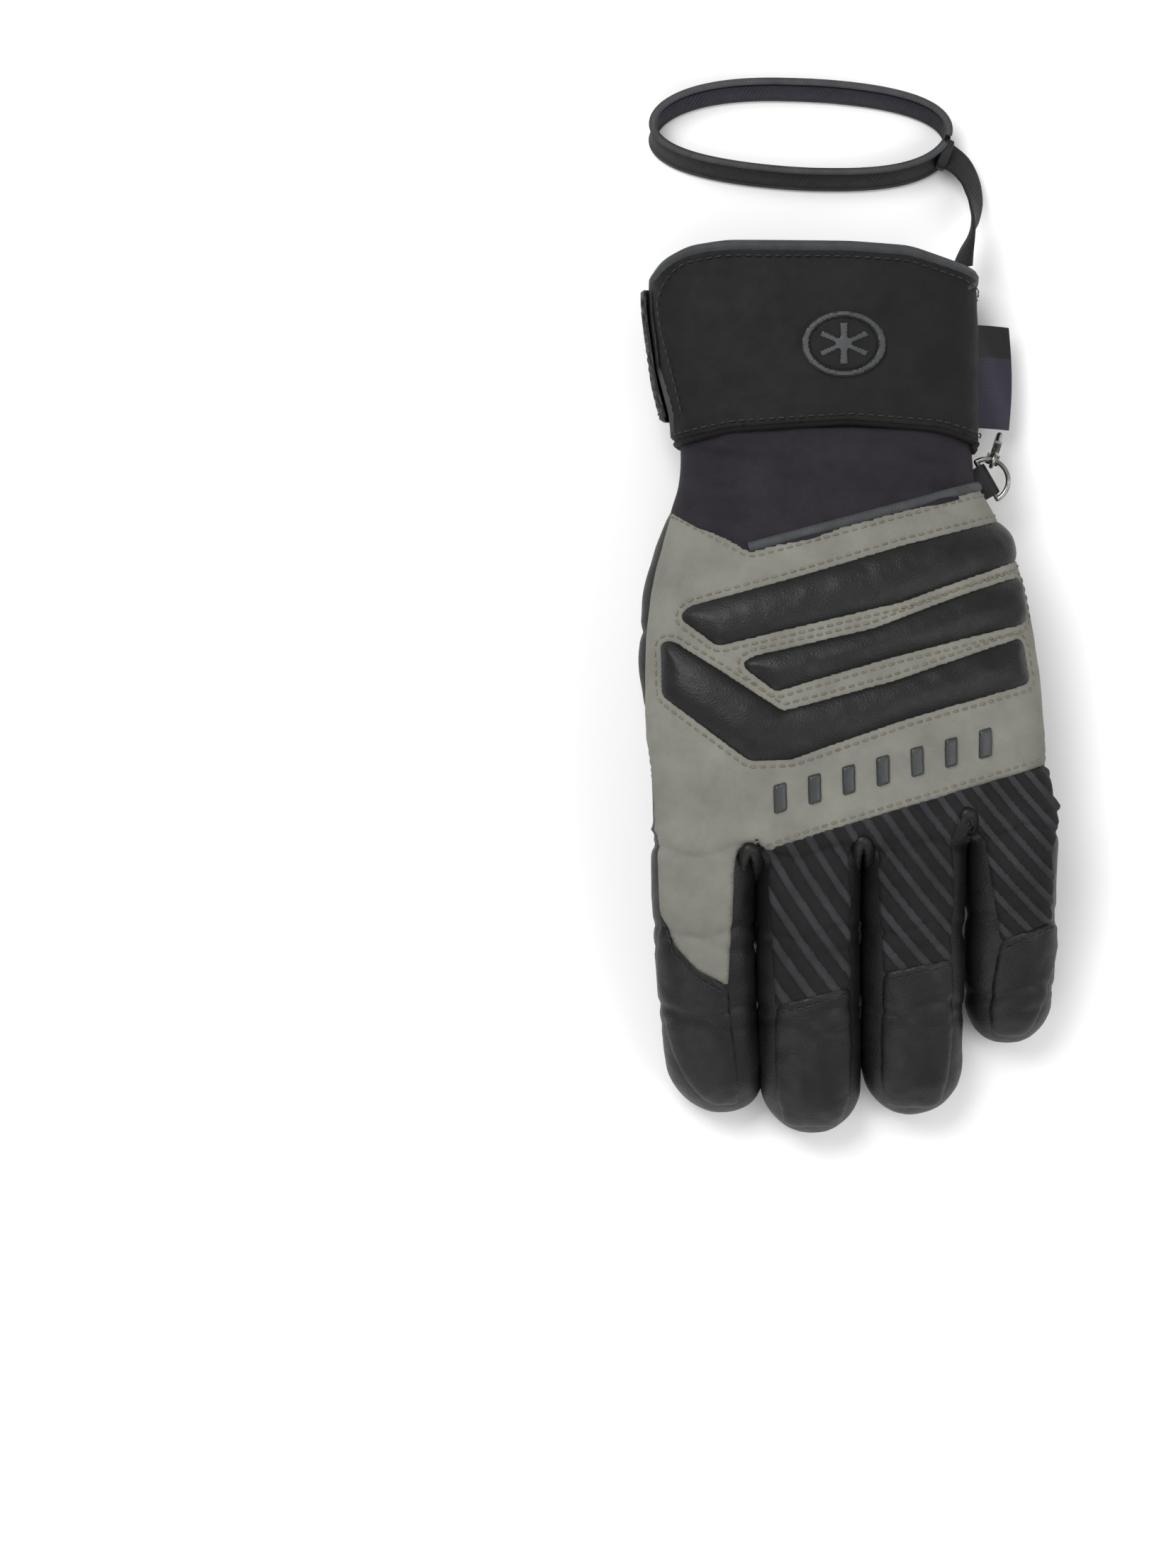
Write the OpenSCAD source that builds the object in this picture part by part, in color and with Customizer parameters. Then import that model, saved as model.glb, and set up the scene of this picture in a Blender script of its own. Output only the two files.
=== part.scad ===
// Ski glove for the left hand, lying palm down.
// +Z is up, +Y runs from the fingertips to the cuff and +X from the thumb to the little finger.
// The origin is at the centre of the foot of the glove's own box. All sizes are in millimetres.

/* [Hand] */
// Width across the palm
hand_w = 126; // [120:1:132]
// Length from the middle fingertip to the end of the cuff
glove_l = 281; // [274:1:290]
// Thickness of the padded hand
hand_t = 34; // [32:1:36]

/* [Layers] */
// Thickness of an outer panel
skin_t = 1.2; // [1:0.1:1.5]
// Thickness of the insulation with its waterproof insert
batting_t = 3.4; // [2.8:0.1:3.8]
// Thickness of the inner lining
lining_t = 0.8; // [0.6:0.1:1]
// Thickness of the neoprene of the cuff
neoprene_t = 2.8; // [2.5:0.1:3]
// Height of the knuckle pads over the back panel
pad_rise = 2.6; // [2:0.1:3.2]

/* [Fingers] */
// Half the width of a finger
finger_r = 14.8; // [14.2:0.1:14.9]
// Half the thickness of a finger
finger_h = 13.4; // [12.8:0.1:13.8]
// Furthest that a finger curls towards the palm
curl_deg = 50; // [40:5:50]
// Furthest that a finger bends back
back_deg = 15; // [10:5:15]
// Furthest that the thumb swings out from the palm
thumb_deg = 40; // [30:5:40]

/* [Closure] */
// Width of the closure tab
tab_w = 42; // [38:1:43]
// Thickness of the closure tab
tab_t = 1.8; // [1.5:0.1:2]

/* [Hardware] */
// Thickness of the wire of the D-ring
wire_d = 1.6; // [1.4:0.1:1.8]
// Radius of the D-ring at the middle of its wire
ring_r = 6.7; // [6.2:0.1:7]
// Length of the snap hook
hook_l = 15; // [14:0.5:16]

/* [Leash] */
// Width of the leash's webbing
webbing_w = 10; // [8:0.5:11]
// Height of the wrist loop's band
band_w = 11; // [9:0.5:12]

/* [Hidden] */
$fn = 48;

sx = hand_w / 126;
sy = glove_l / 281;
slit = 0.3; // room between panels that meet
roundness = 2.5; // power of the superellipse of the hand's section
sides = 28; // corners of the hand's section
knuckle_h = 14.5; // from a knuckle's axis to the finger's surface

// The hand's outer surface: [y, left x, right x, bottom z, top z], from the finger roots to the cuff's end
HAND = [
    [-60, -61, 65, 27, 56], [-44, -61, 64, 26, 57], [-28, -61.5, 61.5, 25.5, 58.5], [-8, -62.5, 60, 24.5, 59],
    [16, -62, 57.5, 22.5, 57.5], [36, -59.5, 53, 19, 54], [52, -54.5, 46, 15, 49.5],
    [66, -51, 37.5, 11, 45.5], [76, -50.5, 38.3, 9.5, 41.5], [95, -55, 38.3, 7.6, 40],
    [120, -58.3, 37.8, 7.4, 38], [145, -57, 36.8, 7.4, 37]
];
// How much the hand leans towards the little finger: [y, slope]
LEAN = [[-60, 0.13], [0, 0.13], [30, 0.1], [60, 0.04], [90, 0]];
// Where the hand ends and the fingers begin: [x, y]
ROOT = [[-70, -47], [-62, -47.5], [-30, -49.5], [4, -48], [36, -43.5], [66, -38.5], [75, -38]];

function scaled(y) = y / sy;
function hand_at(y, column) = lookup(scaled(y), [for (s = HAND) [s[0], s[column]]]);
function lean(y) = lookup(scaled(y), LEAN);
function hand_x(y) = sx * (hand_at(y, 1) + hand_at(y, 2)) / 2;
function hand_half(y) = sx * (hand_at(y, 2) - hand_at(y, 1)) / 2;
function hand_z(y) = (hand_at(y, 3) + hand_at(y, 4)) / 2;
function hand_rise(y) = (hand_at(y, 4) - hand_at(y, 3)) / 2 * hand_t / 34;
function root_y(x) = sy * lookup(x / sx, ROOT);

function power(v, n) = sign(v) * pow(abs(v), 2 / n);
// A point of the hand's surface at height y and angle a, off millimetres outside it
function hand_point(y, a, off) =
    let (
        x = hand_x(y) + (hand_half(y) + off) * power(cos(a), roundness),
        z = hand_z(y) + (hand_rise(y) + off) * power(sin(a), roundness)
    )
    [x, y, z - lean(y) * x];
// How far the hand's end is cut back from the knuckle line, so that the fingers can bend
function root_cut(a) = (knuckle_h - 0.5) * abs(sin(a)) * tan((sin(a) < 0 ? curl_deg : back_deg) / 2);

/* The grids that every soft panel is built from */

// A closed plate between two grids of points with as many rows and columns
module plate(outer, inner) {
    rows = len(outer);
    cols = len(outer[0]);
    half = rows * cols;
    quads = concat(
        [for (i = [0:rows - 2], j = [0:cols - 2])
            [i * cols + j, i * cols + j + 1, (i + 1) * cols + j + 1, (i + 1) * cols + j]],
        [for (i = [0:rows - 2], j = [0:cols - 2])
            [half + i * cols + j, half + (i + 1) * cols + j, half + (i + 1) * cols + j + 1, half + i * cols + j + 1]],
        [for (j = [0:cols - 2]) [j + 1, j, half + j, half + j + 1]],
        [for (j = [0:cols - 2]) let (k = (rows - 1) * cols)
            [k + j, k + j + 1, half + k + j + 1, half + k + j]],
        [for (i = [0:rows - 2]) [i * cols, (i + 1) * cols, half + (i + 1) * cols, half + i * cols]],
        [for (i = [0:rows - 2]) let (k = cols - 1)
            [(i + 1) * cols + k, i * cols + k, half + i * cols + k, half + (i + 1) * cols + k]]
    );
    polyhedron(
        concat([for (r = outer) each r], [for (r = inner) each r]),
        [for (q = quads) each [[q[0], q[1], q[2]], [q[0], q[2], q[3]]]]
    );
}

// A solid bar through a list of rings, closed at both ends
module bar(rings) {
    n = len(rings[0]);
    last = (len(rings) - 1) * n;
    polyhedron(
        [for (r = rings) each r],
        concat(
            [for (i = [0:len(rings) - 2], j = [0:n - 1]) each
                let (k = (j + 1) % n)
                [[i * n + j, i * n + k, (i + 1) * n + k], [i * n + j, (i + 1) * n + k, (i + 1) * n + j]]],
            [for (j = [1:n - 2]) [0, j + 1, j]],
            [for (j = [1:n - 2]) [last, last + j, last + j + 1]]
        )
    );
}

// A hollow length between outer and inner rings: open at its start, and closed or open at its end
module hollow(outer, inner, closed) {
    n = len(outer[0]);
    half = len(outer) * n;
    end = half - n;
    polyhedron(
        concat([for (r = outer) each r], [for (r = inner) each r]),
        concat(
            [for (i = [0:len(outer) - 2], j = [0:n - 1]) each
                let (k = (j + 1) % n)
                [[i * n + j, i * n + k, (i + 1) * n + k], [i * n + j, (i + 1) * n + k, (i + 1) * n + j]]],
            [for (i = [0:len(outer) - 2], j = [0:n - 1]) each
                let (k = (j + 1) % n)
                [[half + i * n + j, half + (i + 1) * n + k, half + i * n + k],
                    [half + i * n + j, half + (i + 1) * n + j, half + (i + 1) * n + k]]],
            [for (j = [0:n - 1]) each
                let (k = (j + 1) % n)
                [[j, half + j, half + k], [j, half + k, k]]],
            [for (j = [0:n - 1]) if (!closed) each
                let (k = (j + 1) % n)
                [[end + j, half + end + k, half + end + j], [end + j, end + k, half + end + k]]],
            [for (j = [1:n - 2]) if (closed) [end, end + j, end + j + 1]],
            [for (j = [1:n - 2]) if (closed) [half + end, half + end + j + 1, half + end + j]]
        )
    );
}

// Joins the meshes of a shaped panel into one mesh
module sewn() {
    resize([0, 0, 0]) children();
}

/* The hand */

// Angles from a0 to a1 with every multiple of step between them, so that layers share the same corners
function angles_between(a0, a1, step) =
    concat([a0], [for (i = [ceil((a0 + 1) / step):floor((a1 - 1) / step)]) i * step], [a1]);
// Heights of the rings between y0 and y1, at the hand's own stations
function stations(y0, y1) =
    concat([y0], [for (s = HAND) let (y = s[0] * sy) if (y > y0 + 2 && y < y1 - 2) y], [y1]);
// A panel of the hand from angle a0 to a1 between two offsets; the finger end follows the knuckle line
module hand_panel(a0, a1, low, high, y0, y1) {
    angles = angles_between(a0, a1, 360 / sides);
    from = is_undef(y0) ? -44 : y0;
    ys = stations(from, y1);
    function row(y, off) = [for (a = angles)
        let (p = hand_point(y, a, off))
        is_undef(y0) && y == from ? hand_point(root_y(p[0]) + root_cut(a), a, off) : p];
    plate([for (y = ys) row(y, high)], [for (y = ys) row(y, low)]);
}
// A tube of the hand between two offsets, open at both ends; its finger end follows the knuckle line
module hand_tube(low, high, y1) {
    function ring(y, off) = [for (i = [0:sides - 1])
        let (a = i * 360 / sides, p = hand_point(y, a, off))
        y == -44 ? hand_point(root_y(p[0]) + root_cut(a), a, off) : p];
    ys = stations(-44, y1);
    hollow([for (y = ys) ring(y, high)], [for (y = ys) ring(y, low)], false);
}
// Everything inside the hand's surface moved out by off
module hand_core(off, y0, y1) {
    bar([for (y = stations(y0, y1)) [for (i = [0:sides - 1]) hand_point(y, i * 360 / sides, off)]]);
}
// A prism over an outline seen from above
module above(outline, round_r = 0, low = 20, high = 80) {
    translate([0, 0, low])
        linear_extrude(high - low)
            scale([sx, sy])
                offset(r = round_r, $fn = 16) offset(delta = -round_r) polygon(outline);
}

PAD_UPPER = [
    [-52, 21], [-49, 23.5], [-14.5, 33], [17, 42.5], [50, 51], [52.7, 41.5], [51, 39], [15, 26], [-41, 12.5]
];
PAD_MIDDLE = [
    [-33, 6], [-30, 8], [7, 16.5], [36, 27.5], [53, 33], [55, 21.5], [53, 19.5], [14, 9.5], [-23, -1.5]
];
PAD_LOWER = [
    [-57.5, 12.5], [-54.5, 12.5], [-21, -9], [14, 0.5], [53, 14], [55, 1], [17, -10], [-19, -22.5], [-31, -23],
    [-57.5, -3]
];
PADS = [PAD_UPPER, PAD_MIDDLE, PAD_LOWER];
pad_corner = 2;
// The line where the wrist panel is tucked behind the back panel
WRIST_LINE = [[-70, 62], [-53, 54], [-33, 42], [44.5, 62.5], [70, 68]];

module back_outline() {
    above(concat([[-80, -70], [80, -70]], [for (i = [4:-1:0]) WRIST_LINE[i]]));
}
module wrist_outline(gap) {
    above(concat([for (p = WRIST_LINE) p + [0, gap]], [[70, 100], [-70, 100]]));
}

module back_panel() {
    color([0.45, 0.45, 0.42])
        sewn() difference() {
            intersection() {
                hand_panel(12, 168, -skin_t, 0, undef, 68 * sy);
                back_outline();
            }
            for (p = PADS) above(p, pad_corner);
        }
}

// A pad's leather: a raised cover with side walls over a foam core
module knuckle_pad(p) {
    color([0.07, 0.07, 0.07])
        sewn() difference() {
            intersection() {
                hand_panel(12, 168, -skin_t, pad_rise, -40, 60 * sy);
                offset_prism(p, -slit);
            }
            intersection() {
                hand_panel(10, 170, -skin_t - 1, pad_rise - skin_t, -45, 64 * sy);
                offset_prism(p, -slit - 1);
            }
        }
}
module offset_prism(p, d) {
    translate([0, 0, 20])
        linear_extrude(60)
            offset(delta = d)
                scale([sx, sy])
                    offset(r = pad_corner, $fn = 16) offset(delta = -pad_corner) polygon(p);
}
module knuckle_pad_upper() {
    knuckle_pad(PAD_UPPER);
}
module knuckle_pad_middle() {
    knuckle_pad(PAD_MIDDLE);
}
module knuckle_pad_lower() {
    knuckle_pad(PAD_LOWER);
}

module pad_foam() {
    color([0.3, 0.3, 0.32])
        sewn() for (p = PADS) intersection() {
            hand_panel(12, 168, -skin_t, pad_rise - skin_t - slit, -40, 60 * sy);
            offset_prism(p, -2 * slit - 1);
        }
}

// Slanted ribs of raised rubber along the knuckles
rib_count = 7;
rib_pitch = 10.6;
rib_slope = 14.9;
rib_x = 10; // middle of the row
rib_y = -26.5;
module rubber_ribs() {
    color([0.14, 0.15, 0.15])
        sewn() intersection() {
            hand_panel(12, 168, 0.15, 1.1, -46, 20);
            for (i = [0:rib_count - 1])
                let (k = i - (rib_count - 1) / 2)
                translate([sx * (rib_x + k * rib_pitch), sy * (rib_y + k * rib_pitch * tan(rib_slope)), 20])
                    rotate(rib_slope)
                        linear_extrude(60)
                            offset(r = 1, $fn = 16) polygon([[-2.8, -3.7], [1, -3.7], [2.8, 3.7], [-1, 3.7]]);
        }
}

module wrist_panel() {
    color([0.07, 0.06, 0.09])
        sewn() intersection() {
            hand_panel(12, 168, -skin_t, 0, 38 * sy, 78 * sy);
            wrist_outline(3);
        }
}

module wrist_piping() {
    color([0.13, 0.14, 0.14])
        sewn() intersection() {
            hand_panel(12, 168, -skin_t, 0.9, 38 * sy, 70 * sy);
            above([[-33, 42.3], [-32, 45], [44.5, 65.2], [44.5, 62.8]]);
        }
}

// Outline of the hole in the palm where the thumb joins
module thumb_way(grow) {
    difference() {
        bar([for (y = [8, 30, 47, 60, 70]) digit_ring(THUMB_PATH, y * sy, -3 + grow)]);
        translate([-150, -4, -10]) cube([200, 12, 100]);
    }
}

module palm_leather() {
    color([0.06, 0.06, 0.06])
        sewn() difference() {
            hand_panel(192, 348, -skin_t, 0, undef, 52 * sy);
            thumb_way(0.5);
        }
}

module palm_reinforcement() {
    color([0.06, 0.06, 0.06])
        sewn() intersection() {
            hand_panel(200, 335, 0.15, 1.1, -40, 50 * sy);
            above([[-17, -33], [56, -20], [54, 20], [49, 40], [-6, 48], [-17, 10]], 3, 0, 60);
        }
}

module side_strips() {
    color([0.06, 0.06, 0.06]) {
        hand_panel(-11.5, 11.5, -skin_t, 0, undef, 78 * sy);
        sewn() difference() {
            hand_panel(168.5, 191.5, -skin_t, 0, undef, 78 * sy);
            thumb_way(0.5);
        }
    }
}

module wrist_gather() {
    color([0.45, 0.45, 0.42])
        sewn() difference() {
            hand_panel(192, 348, -skin_t, 0, 52.5 * sy, 78 * sy);
            thumb_way(0.5);
        }
}

module wrist_elastic() {
    color([0.6, 0.6, 0.58]) hand_panel(205, 335, 0.15, 0.8, 62.5 * sy, 69.5 * sy);
}

module thumb_mound() {
    color([0.45, 0.45, 0.42])
        sewn() difference() {
            bar([for (y = [20, 30, 40, 47, 60, 69]) digit_ring(THUMB_PATH, y * sy, 0)]);
            bar([for (y = [10, 30, 40, 47, 60, 72]) digit_ring(THUMB_PATH, y * sy, -3)]);
            hand_core(1, -20, 140);
            thumb_sweep();
        }
}
// The room that the thumb takes as it swings, kept out of the mound
module thumb_sweep() {
    for (q = [-0.5, 0.5])
        translate([THUMB_HINGE[0], THUMB_HINGE[1], -20])
            rotate(q < 0 ? -thumb_deg / 2 : 0)
                translate([q < 0 ? -60 : -0.01, -100 + 0.8, 0]) cube([60, 100, 120]);
}

module hand_insulation() {
    color([0.8, 0.8, 0.78])
        sewn() difference() {
            hand_tube(-skin_t - batting_t, -skin_t - 0.1, 62 * sy);
            thumb_way(0.3);
        }
}

module hand_lining() {
    color([0.12, 0.12, 0.14])
        sewn() difference() {
            hand_tube(-skin_t - batting_t - lining_t - 0.1, -skin_t - batting_t - 0.1, 134 * sy);
            thumb_way(0.3);
        }
}

/* The cuff */

module cuff_insulation() {
    ys = stations(62.4 * sy, 132 * sy);
    function ring(y, off) = [for (i = [0:sides - 1]) hand_point(y, i * 360 / sides, off)];
    color([0.8, 0.8, 0.78])
        hollow(
            [for (y = ys) ring(y, -skin_t - 2 * slit)],
            [for (y = ys) ring(y, -skin_t - batting_t)],
            false
        );
}

CUFF_OUT = 3.4; // how far the neoprene stands out over the wrist
CUFF_EDGE = [[-70, 74], [-52.5, 74.5], [-35, 79], [0, 81.5], [27, 79.5], [41, 74.5], [60, 70],
    [60, 121], [42, 125], [36, 129.5], [18, 135.5], [0, 136.8],
    [-37, 137.2], [-50, 135], [-56, 131], [-60.5, 124], [-75, 117]];
PALM_EDGE = [
    [60, 70], [38, 72], [0, 75], [-30, 73.5], [-49, 76], [-46, 129], [-43, 136], [-32, 136.5], [7, 134.5],
    [43, 126], [60, 122]
];

module cuff_back() {
    color([0.07, 0.07, 0.075])
        sewn() intersection() {
            hand_panel(-35, 192, CUFF_OUT - neoprene_t, CUFF_OUT, 68 * sy, 142 * sy);
            above(CUFF_EDGE, 0, -5, 80);
        }
}

module cuff_palm() {
    color([0.06, 0.06, 0.065])
        sewn() intersection() {
            hand_panel(196, 324, CUFF_OUT - neoprene_t, CUFF_OUT, 68 * sy, 142 * sy);
            above(PALM_EDGE, 0, -5, 40);
        }
}

module cuff_gusset() {
    color([0.05, 0.05, 0.06])
        hand_panel(178, 232, CUFF_OUT - neoprene_t - 1, CUFF_OUT - neoprene_t - slit, 82 * sy, 136 * sy);
}

// A round edging along a line of points
module edging(points, r) {
    color([0.12, 0.125, 0.13])
        bar([for (i = [0:len(points) - 1])
            let (
                p = points[i],
                d = points[min(i + 1, len(points) - 1)] - points[max(i - 1, 0)],
                t = d / norm(d),
                u = cross(t, [0.05, 0.1, 1]) / norm(cross(t, [0.05, 0.1, 1])),
                v = cross(u, t)
            )
            [for (k = [0:5]) p + r * (cos(60 * k) * u + sin(60 * k) * v)]]);
}
binding_r = 1.9;
binding_mid = CUFF_OUT - neoprene_t / 2;
// Ends of the cuff at each angle round it, for the two bindings
BACK_END = [
    [-35, 122], [-10, 125], [12, 127], [40, 132], [80, 136.8], [110, 137.2], [150, 135.5], [166, 131], [176, 124]
];
PALM_END = [[206, 136], [230, 137], [270, 135], [300, 131], [324, 125.5]];
function end_line(ends, over) = [for (e = ends) hand_point(sy * e[1] + over, e[0], binding_mid)];

module cuff_back_binding() {
    edging(
        concat(
            end_line(BACK_END, 2.2),
            [for (y = [118, 104, 90, 78]) hand_point(sy * y, 193.5 - (y - 78) / 8, binding_mid + 0.6)]
        ),
        binding_r
    );
}

module cuff_palm_binding() {
    edging(concat([hand_point(sy * 126, 201, binding_mid)], end_line(PALM_END, 2.2)), binding_r - 0.3);
}

// Raised badge: a six-sided plate with a ring of six small studs
emblem_y = 106.5;
module cuff_emblem() {
    color([0.12, 0.13, 0.13])
        sewn() intersection() {
            hand_panel(50, 130, CUFF_OUT + 0.15, CUFF_OUT + 1.2, 90 * sy, 124 * sy);
            translate([-2 * sx, emblem_y * sy, 20])
                linear_extrude(60)
                    difference() {
                        offset(r = 2, $fn = 16) circle(10.5, $fn = 6);
                        difference() {
                            offset(r = 1, $fn = 16) circle(9, $fn = 6);
                            for (i = [0:2]) rotate(60 * i) square([14, 1.6], center = true);
                        }
                    }
        }
}

// A folded woven label in the cuff's side seam, drooping clear of the clip
label_w = 12.4;
label_l = 32.5;
label_droop = 35;
module side_label() {
    color([0.1, 0.09, 0.13])
        translate([43.2 * sx, 81.5 * sy, 16])
            rotate([0, label_droop, -3])
                difference() {
                    translate([-1.4, 0, 0]) cube([label_w, label_l, 1]);
                    translate([-2, -1, 0.4]) cube([label_w + 0.2, label_l + 2, 0.2]);
                }
}

/* The fingers: [y, x, half width, half thickness] from the root to near the tip */

// [knuckle y, tip y, root x, tip x, root z, lowest tip z, share of finger_r]
INDEX = [-49.5, -134.5, -46.3, -38.5, 47, 6.7, 1];
MIDDLE = [-49.7, -141, -12.6, -10.3, 43, 7.4, 1];
RING = [-48.2, -135, 20.2, 21, 38.6, 7.7, 0.99];
LITTLE = [-43.4, -112.5, 51.2, 51.2, 34.6, 7.2, 0.9];
droop = 1.3; // power of the fingers' drop to the floor
finger_round = 2.3;
finger_sides = 16;
tip_share = 1.15; // length of the rounded tip over the finger's half width

function finger_l(f) = sy * (f[0] - f[1]);
function finger_mid(f, s) =
    let (u = min(1, s / finger_l(f)))
    [sx * (f[2] + (f[3] - f[2]) * pow(u, 3)), sy * f[0] - s, f[5] + (f[4] - f[5]) * (1 - pow(u, droop))];
function finger_taper(f, s, off) =
    let (tip = tip_share * finger_r, u = (s - finger_l(f) + tip) / (tip + off))
    u < 0 ? 1 : sqrt(max(0, 1 - u * u));
// How far the finger's root is cut back from its hinge at angle a
function finger_cut(a) = 0.4 + abs(sin(a)) * knuckle_h * tan((sin(a) < 0 ? curl_deg : back_deg) / 2);
// A point of a finger, t of the way from its root to its tip
function finger_point(f, t, a, off) =
    let (
        s0 = finger_cut(a),
        s = s0 + (finger_l(f) + off - s0) * t,
        m = finger_mid(f, s),
        k = finger_taper(f, s, off)
    )
    m + [(f[6] * finger_r + off) * k * power(cos(a), finger_round), 0,
        (finger_h * (0.75 + 0.25 * f[6]) + off) * k * power(sin(a), finger_round)];
finger_steps = [0, 0.2, 0.4, 0.6, 0.78, 0.88, 0.94, 0.98, 0.995];
function steps_between(t0, t1) =
    concat([t0], [for (t = finger_steps) if (t > t0 + 0.015 && t < t1 - 0.004) t], [t1]);
function finger_grid(f, t0, t1, a0, a1, off) =
    let (angles = angles_between(a0, a1, 360 / finger_sides), n = len(angles) - 1)
    [for (t = steps_between(t0, t1)) [for (i = [0:n]) finger_point(f, t, angles[n - i], off)]];
module finger_panel(f, t0, t1, a0, a1, low, high) {
    plate(finger_grid(f, t0, t1, a0, a1, high), finger_grid(f, t0, t1, a0, a1, low));
}

back_low = 38; // angle where the back panels end and the side walls begin
front_low = 322;
cap_from = 0.9;
cap_steps = [0, 0.35, 0.6, 0.76, 0.88, 0.95, 1];
cap_inner = 0.985; // length of a cap's inside over its outside

module finger_back(f, colour, share) {
    color(colour) finger_panel(f, 0, share, back_low, 180 - back_low, -skin_t, 0);
}
module finger_cap(f, share) {
    color([0.06, 0.06, 0.06])
        hollow(
            [for (w = cap_steps) [for (a = cap_angles)
                finger_point(f, cap_share(share + 0.004, a, w), a, 0)]],
            [for (w = cap_steps) [for (a = cap_angles)
                finger_point(f, cap_share(share + 0.004, a, w * cap_inner), a, -cap_thick(a))]],
            true
        );
}
function ring_of(f, t, off) =
    [for (i = [0:finger_sides - 1]) finger_point(f, t, -i * 360 / finger_sides, off)];
// Corners round a cap, with a step at each edge of the back panel
cap_angles = [
    142, 135, 112.5, 90, 67.5, 45, 38, 37.4, 22.5, 0, -22.5, -45, -67.5, -90, -112.5, -135, -157.5, -180, -202.5,
    -217.4
];
// The leather is thinned where it steps back beside the back panel
function cap_thick(a) = skin_t - (a == 142 || a == 38 || a == 37.4 || a == -217.4 ? 0.6 : 0);
// Rings of a cap that reaches back to start on the finger's back and to cap_from elsewhere
function cap_share(start, a, w) = let (t0 = a >= 38 ? start : cap_from) t0 + (0.996 - t0) * w;
module finger_front(f) {
    color([0.06, 0.06, 0.06]) finger_panel(f, 0, cap_from - 0.004, 218, front_low, -skin_t, 0);
}
module finger_sidewalls(f) {
    color([0.055, 0.055, 0.055]) {
        finger_panel(f, 0, cap_from - 0.004, 180 - back_low + 2.4, 216.8, -skin_t, 0);
        finger_panel(f, 0, cap_from - 0.004, -36.8, back_low - 2.4, -skin_t, 0);
    }
}
liner_steps = [0, 0.2, 0.4, 0.6, 0.78, 0.88, 0.935, 0.965];
module finger_liner(f) {
    color([0.8, 0.8, 0.78])
        hollow(
            [for (t = liner_steps) ring_of(f, t, -skin_t - 3.4 * slit)],
            [for (t = liner_steps) ring_of(f, t * 0.97, -skin_t - batting_t)],
            true
        );
}

grey = [0.45, 0.45, 0.42];
ribbed = [0.09, 0.09, 0.1];
module index_back() {
    finger_back(INDEX, grey, 0.46);
}
module index_cap() {
    finger_cap(INDEX, 0.46);
}
module index_front() {
    finger_front(INDEX);
}
module index_sidewalls() {
    finger_sidewalls(INDEX);
}
module index_liner() {
    finger_liner(INDEX);
}
module middle_back() {
    finger_back(MIDDLE, ribbed, 0.48);
}
module middle_cap() {
    finger_cap(MIDDLE, 0.48);
}
module middle_front() {
    finger_front(MIDDLE);
}
module middle_sidewalls() {
    finger_sidewalls(MIDDLE);
}
module middle_liner() {
    finger_liner(MIDDLE);
}
module ring_finger_back() {
    finger_back(RING, ribbed, 0.43);
}
module ring_finger_cap() {
    finger_cap(RING, 0.43);
}
module ring_finger_front() {
    finger_front(RING);
}
module ring_finger_sidewalls() {
    finger_sidewalls(RING);
}
module ring_finger_liner() {
    finger_liner(RING);
}
module little_back() {
    finger_back(LITTLE, ribbed, 0.46);
}
module little_cap() {
    finger_cap(LITTLE, 0.46);
}
module little_front() {
    finger_front(LITTLE);
}
module little_sidewalls() {
    finger_sidewalls(LITTLE);
}
module little_liner() {
    finger_liner(LITTLE);
}

/* The thumb, tucked under the palm: [y, x, z, half width, half thickness] */

THUMB_PATH = [
    [-81, -28, 11, 15, 11], [-67, -30.5, 12.6, 16, 12.6], [-42, -36, 13.4, 18.6, 13.2],
    [-18, -40.5, 13.6, 21, 13.4], [6, -43.2, 13.7, 22.2, 13.4], [30, -43, 14, 20.8, 13.6],
    [47, -40.5, 17, 18.5, 13.6], [60, -37, 22, 15, 12], [72, -36, 24, 13, 11]
];
THUMB_HINGE = [-43, 20, 14];
thumb_tip = -81;
function path_at(path, y, column) = lookup(scaled(y), [for (s = path) [s[0], s[column]]]);
function digit_point(path, y, a, off) = [
    sx * path_at(path, y, 1) + (sx * path_at(path, y, 3) + off) * power(cos(a), finger_round),
    y,
    path_at(path, y, 2) + (path_at(path, y, 4) + off) * power(sin(a), finger_round)
];
function digit_ring(path, y, off) = [for (i = [0:19]) digit_point(path, y, i * 18, off)];
// The thumb's root is cut back on its outer side, so that it can swing out
function thumb_cut(a) = 0.4 + (cos(a) < 0 ? -23 * cos(a) * tan(thumb_deg / 2) : 0);
function thumb_point(t, a, off) =
    let (
        start = sy * THUMB_HINGE[1] - thumb_cut(a),
        end = sy * thumb_tip - off,
        y = start + (end - start) * t,
        round_l = 17,
        u = (end + round_l + off - y) / (round_l + off),
        k = u < 0 ? 1 : sqrt(max(0, 1 - u * u)),
        mid = [sx * path_at(THUMB_PATH, y, 1), y, path_at(THUMB_PATH, y, 2)]
    )
    mid + k * (digit_point(THUMB_PATH, y, a, off) - mid);
function thumb_grid(t0, t1, a0, a1, off) =
    let (angles = angles_between(a0, a1, 360 / finger_sides), n = len(angles) - 1)
    [for (t = steps_between(t0, t1)) [for (i = [0:n]) thumb_point(t, angles[n - i], off)]];
module thumb_panel(t0, t1, a0, a1) {
    plate(thumb_grid(t0, t1, a0, a1, 0), thumb_grid(t0, t1, a0, a1, -skin_t));
}
function thumb_ring(t, off) = [for (i = [0:finger_sides - 1]) thumb_point(t, -i * 360 / finger_sides, off)];

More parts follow.
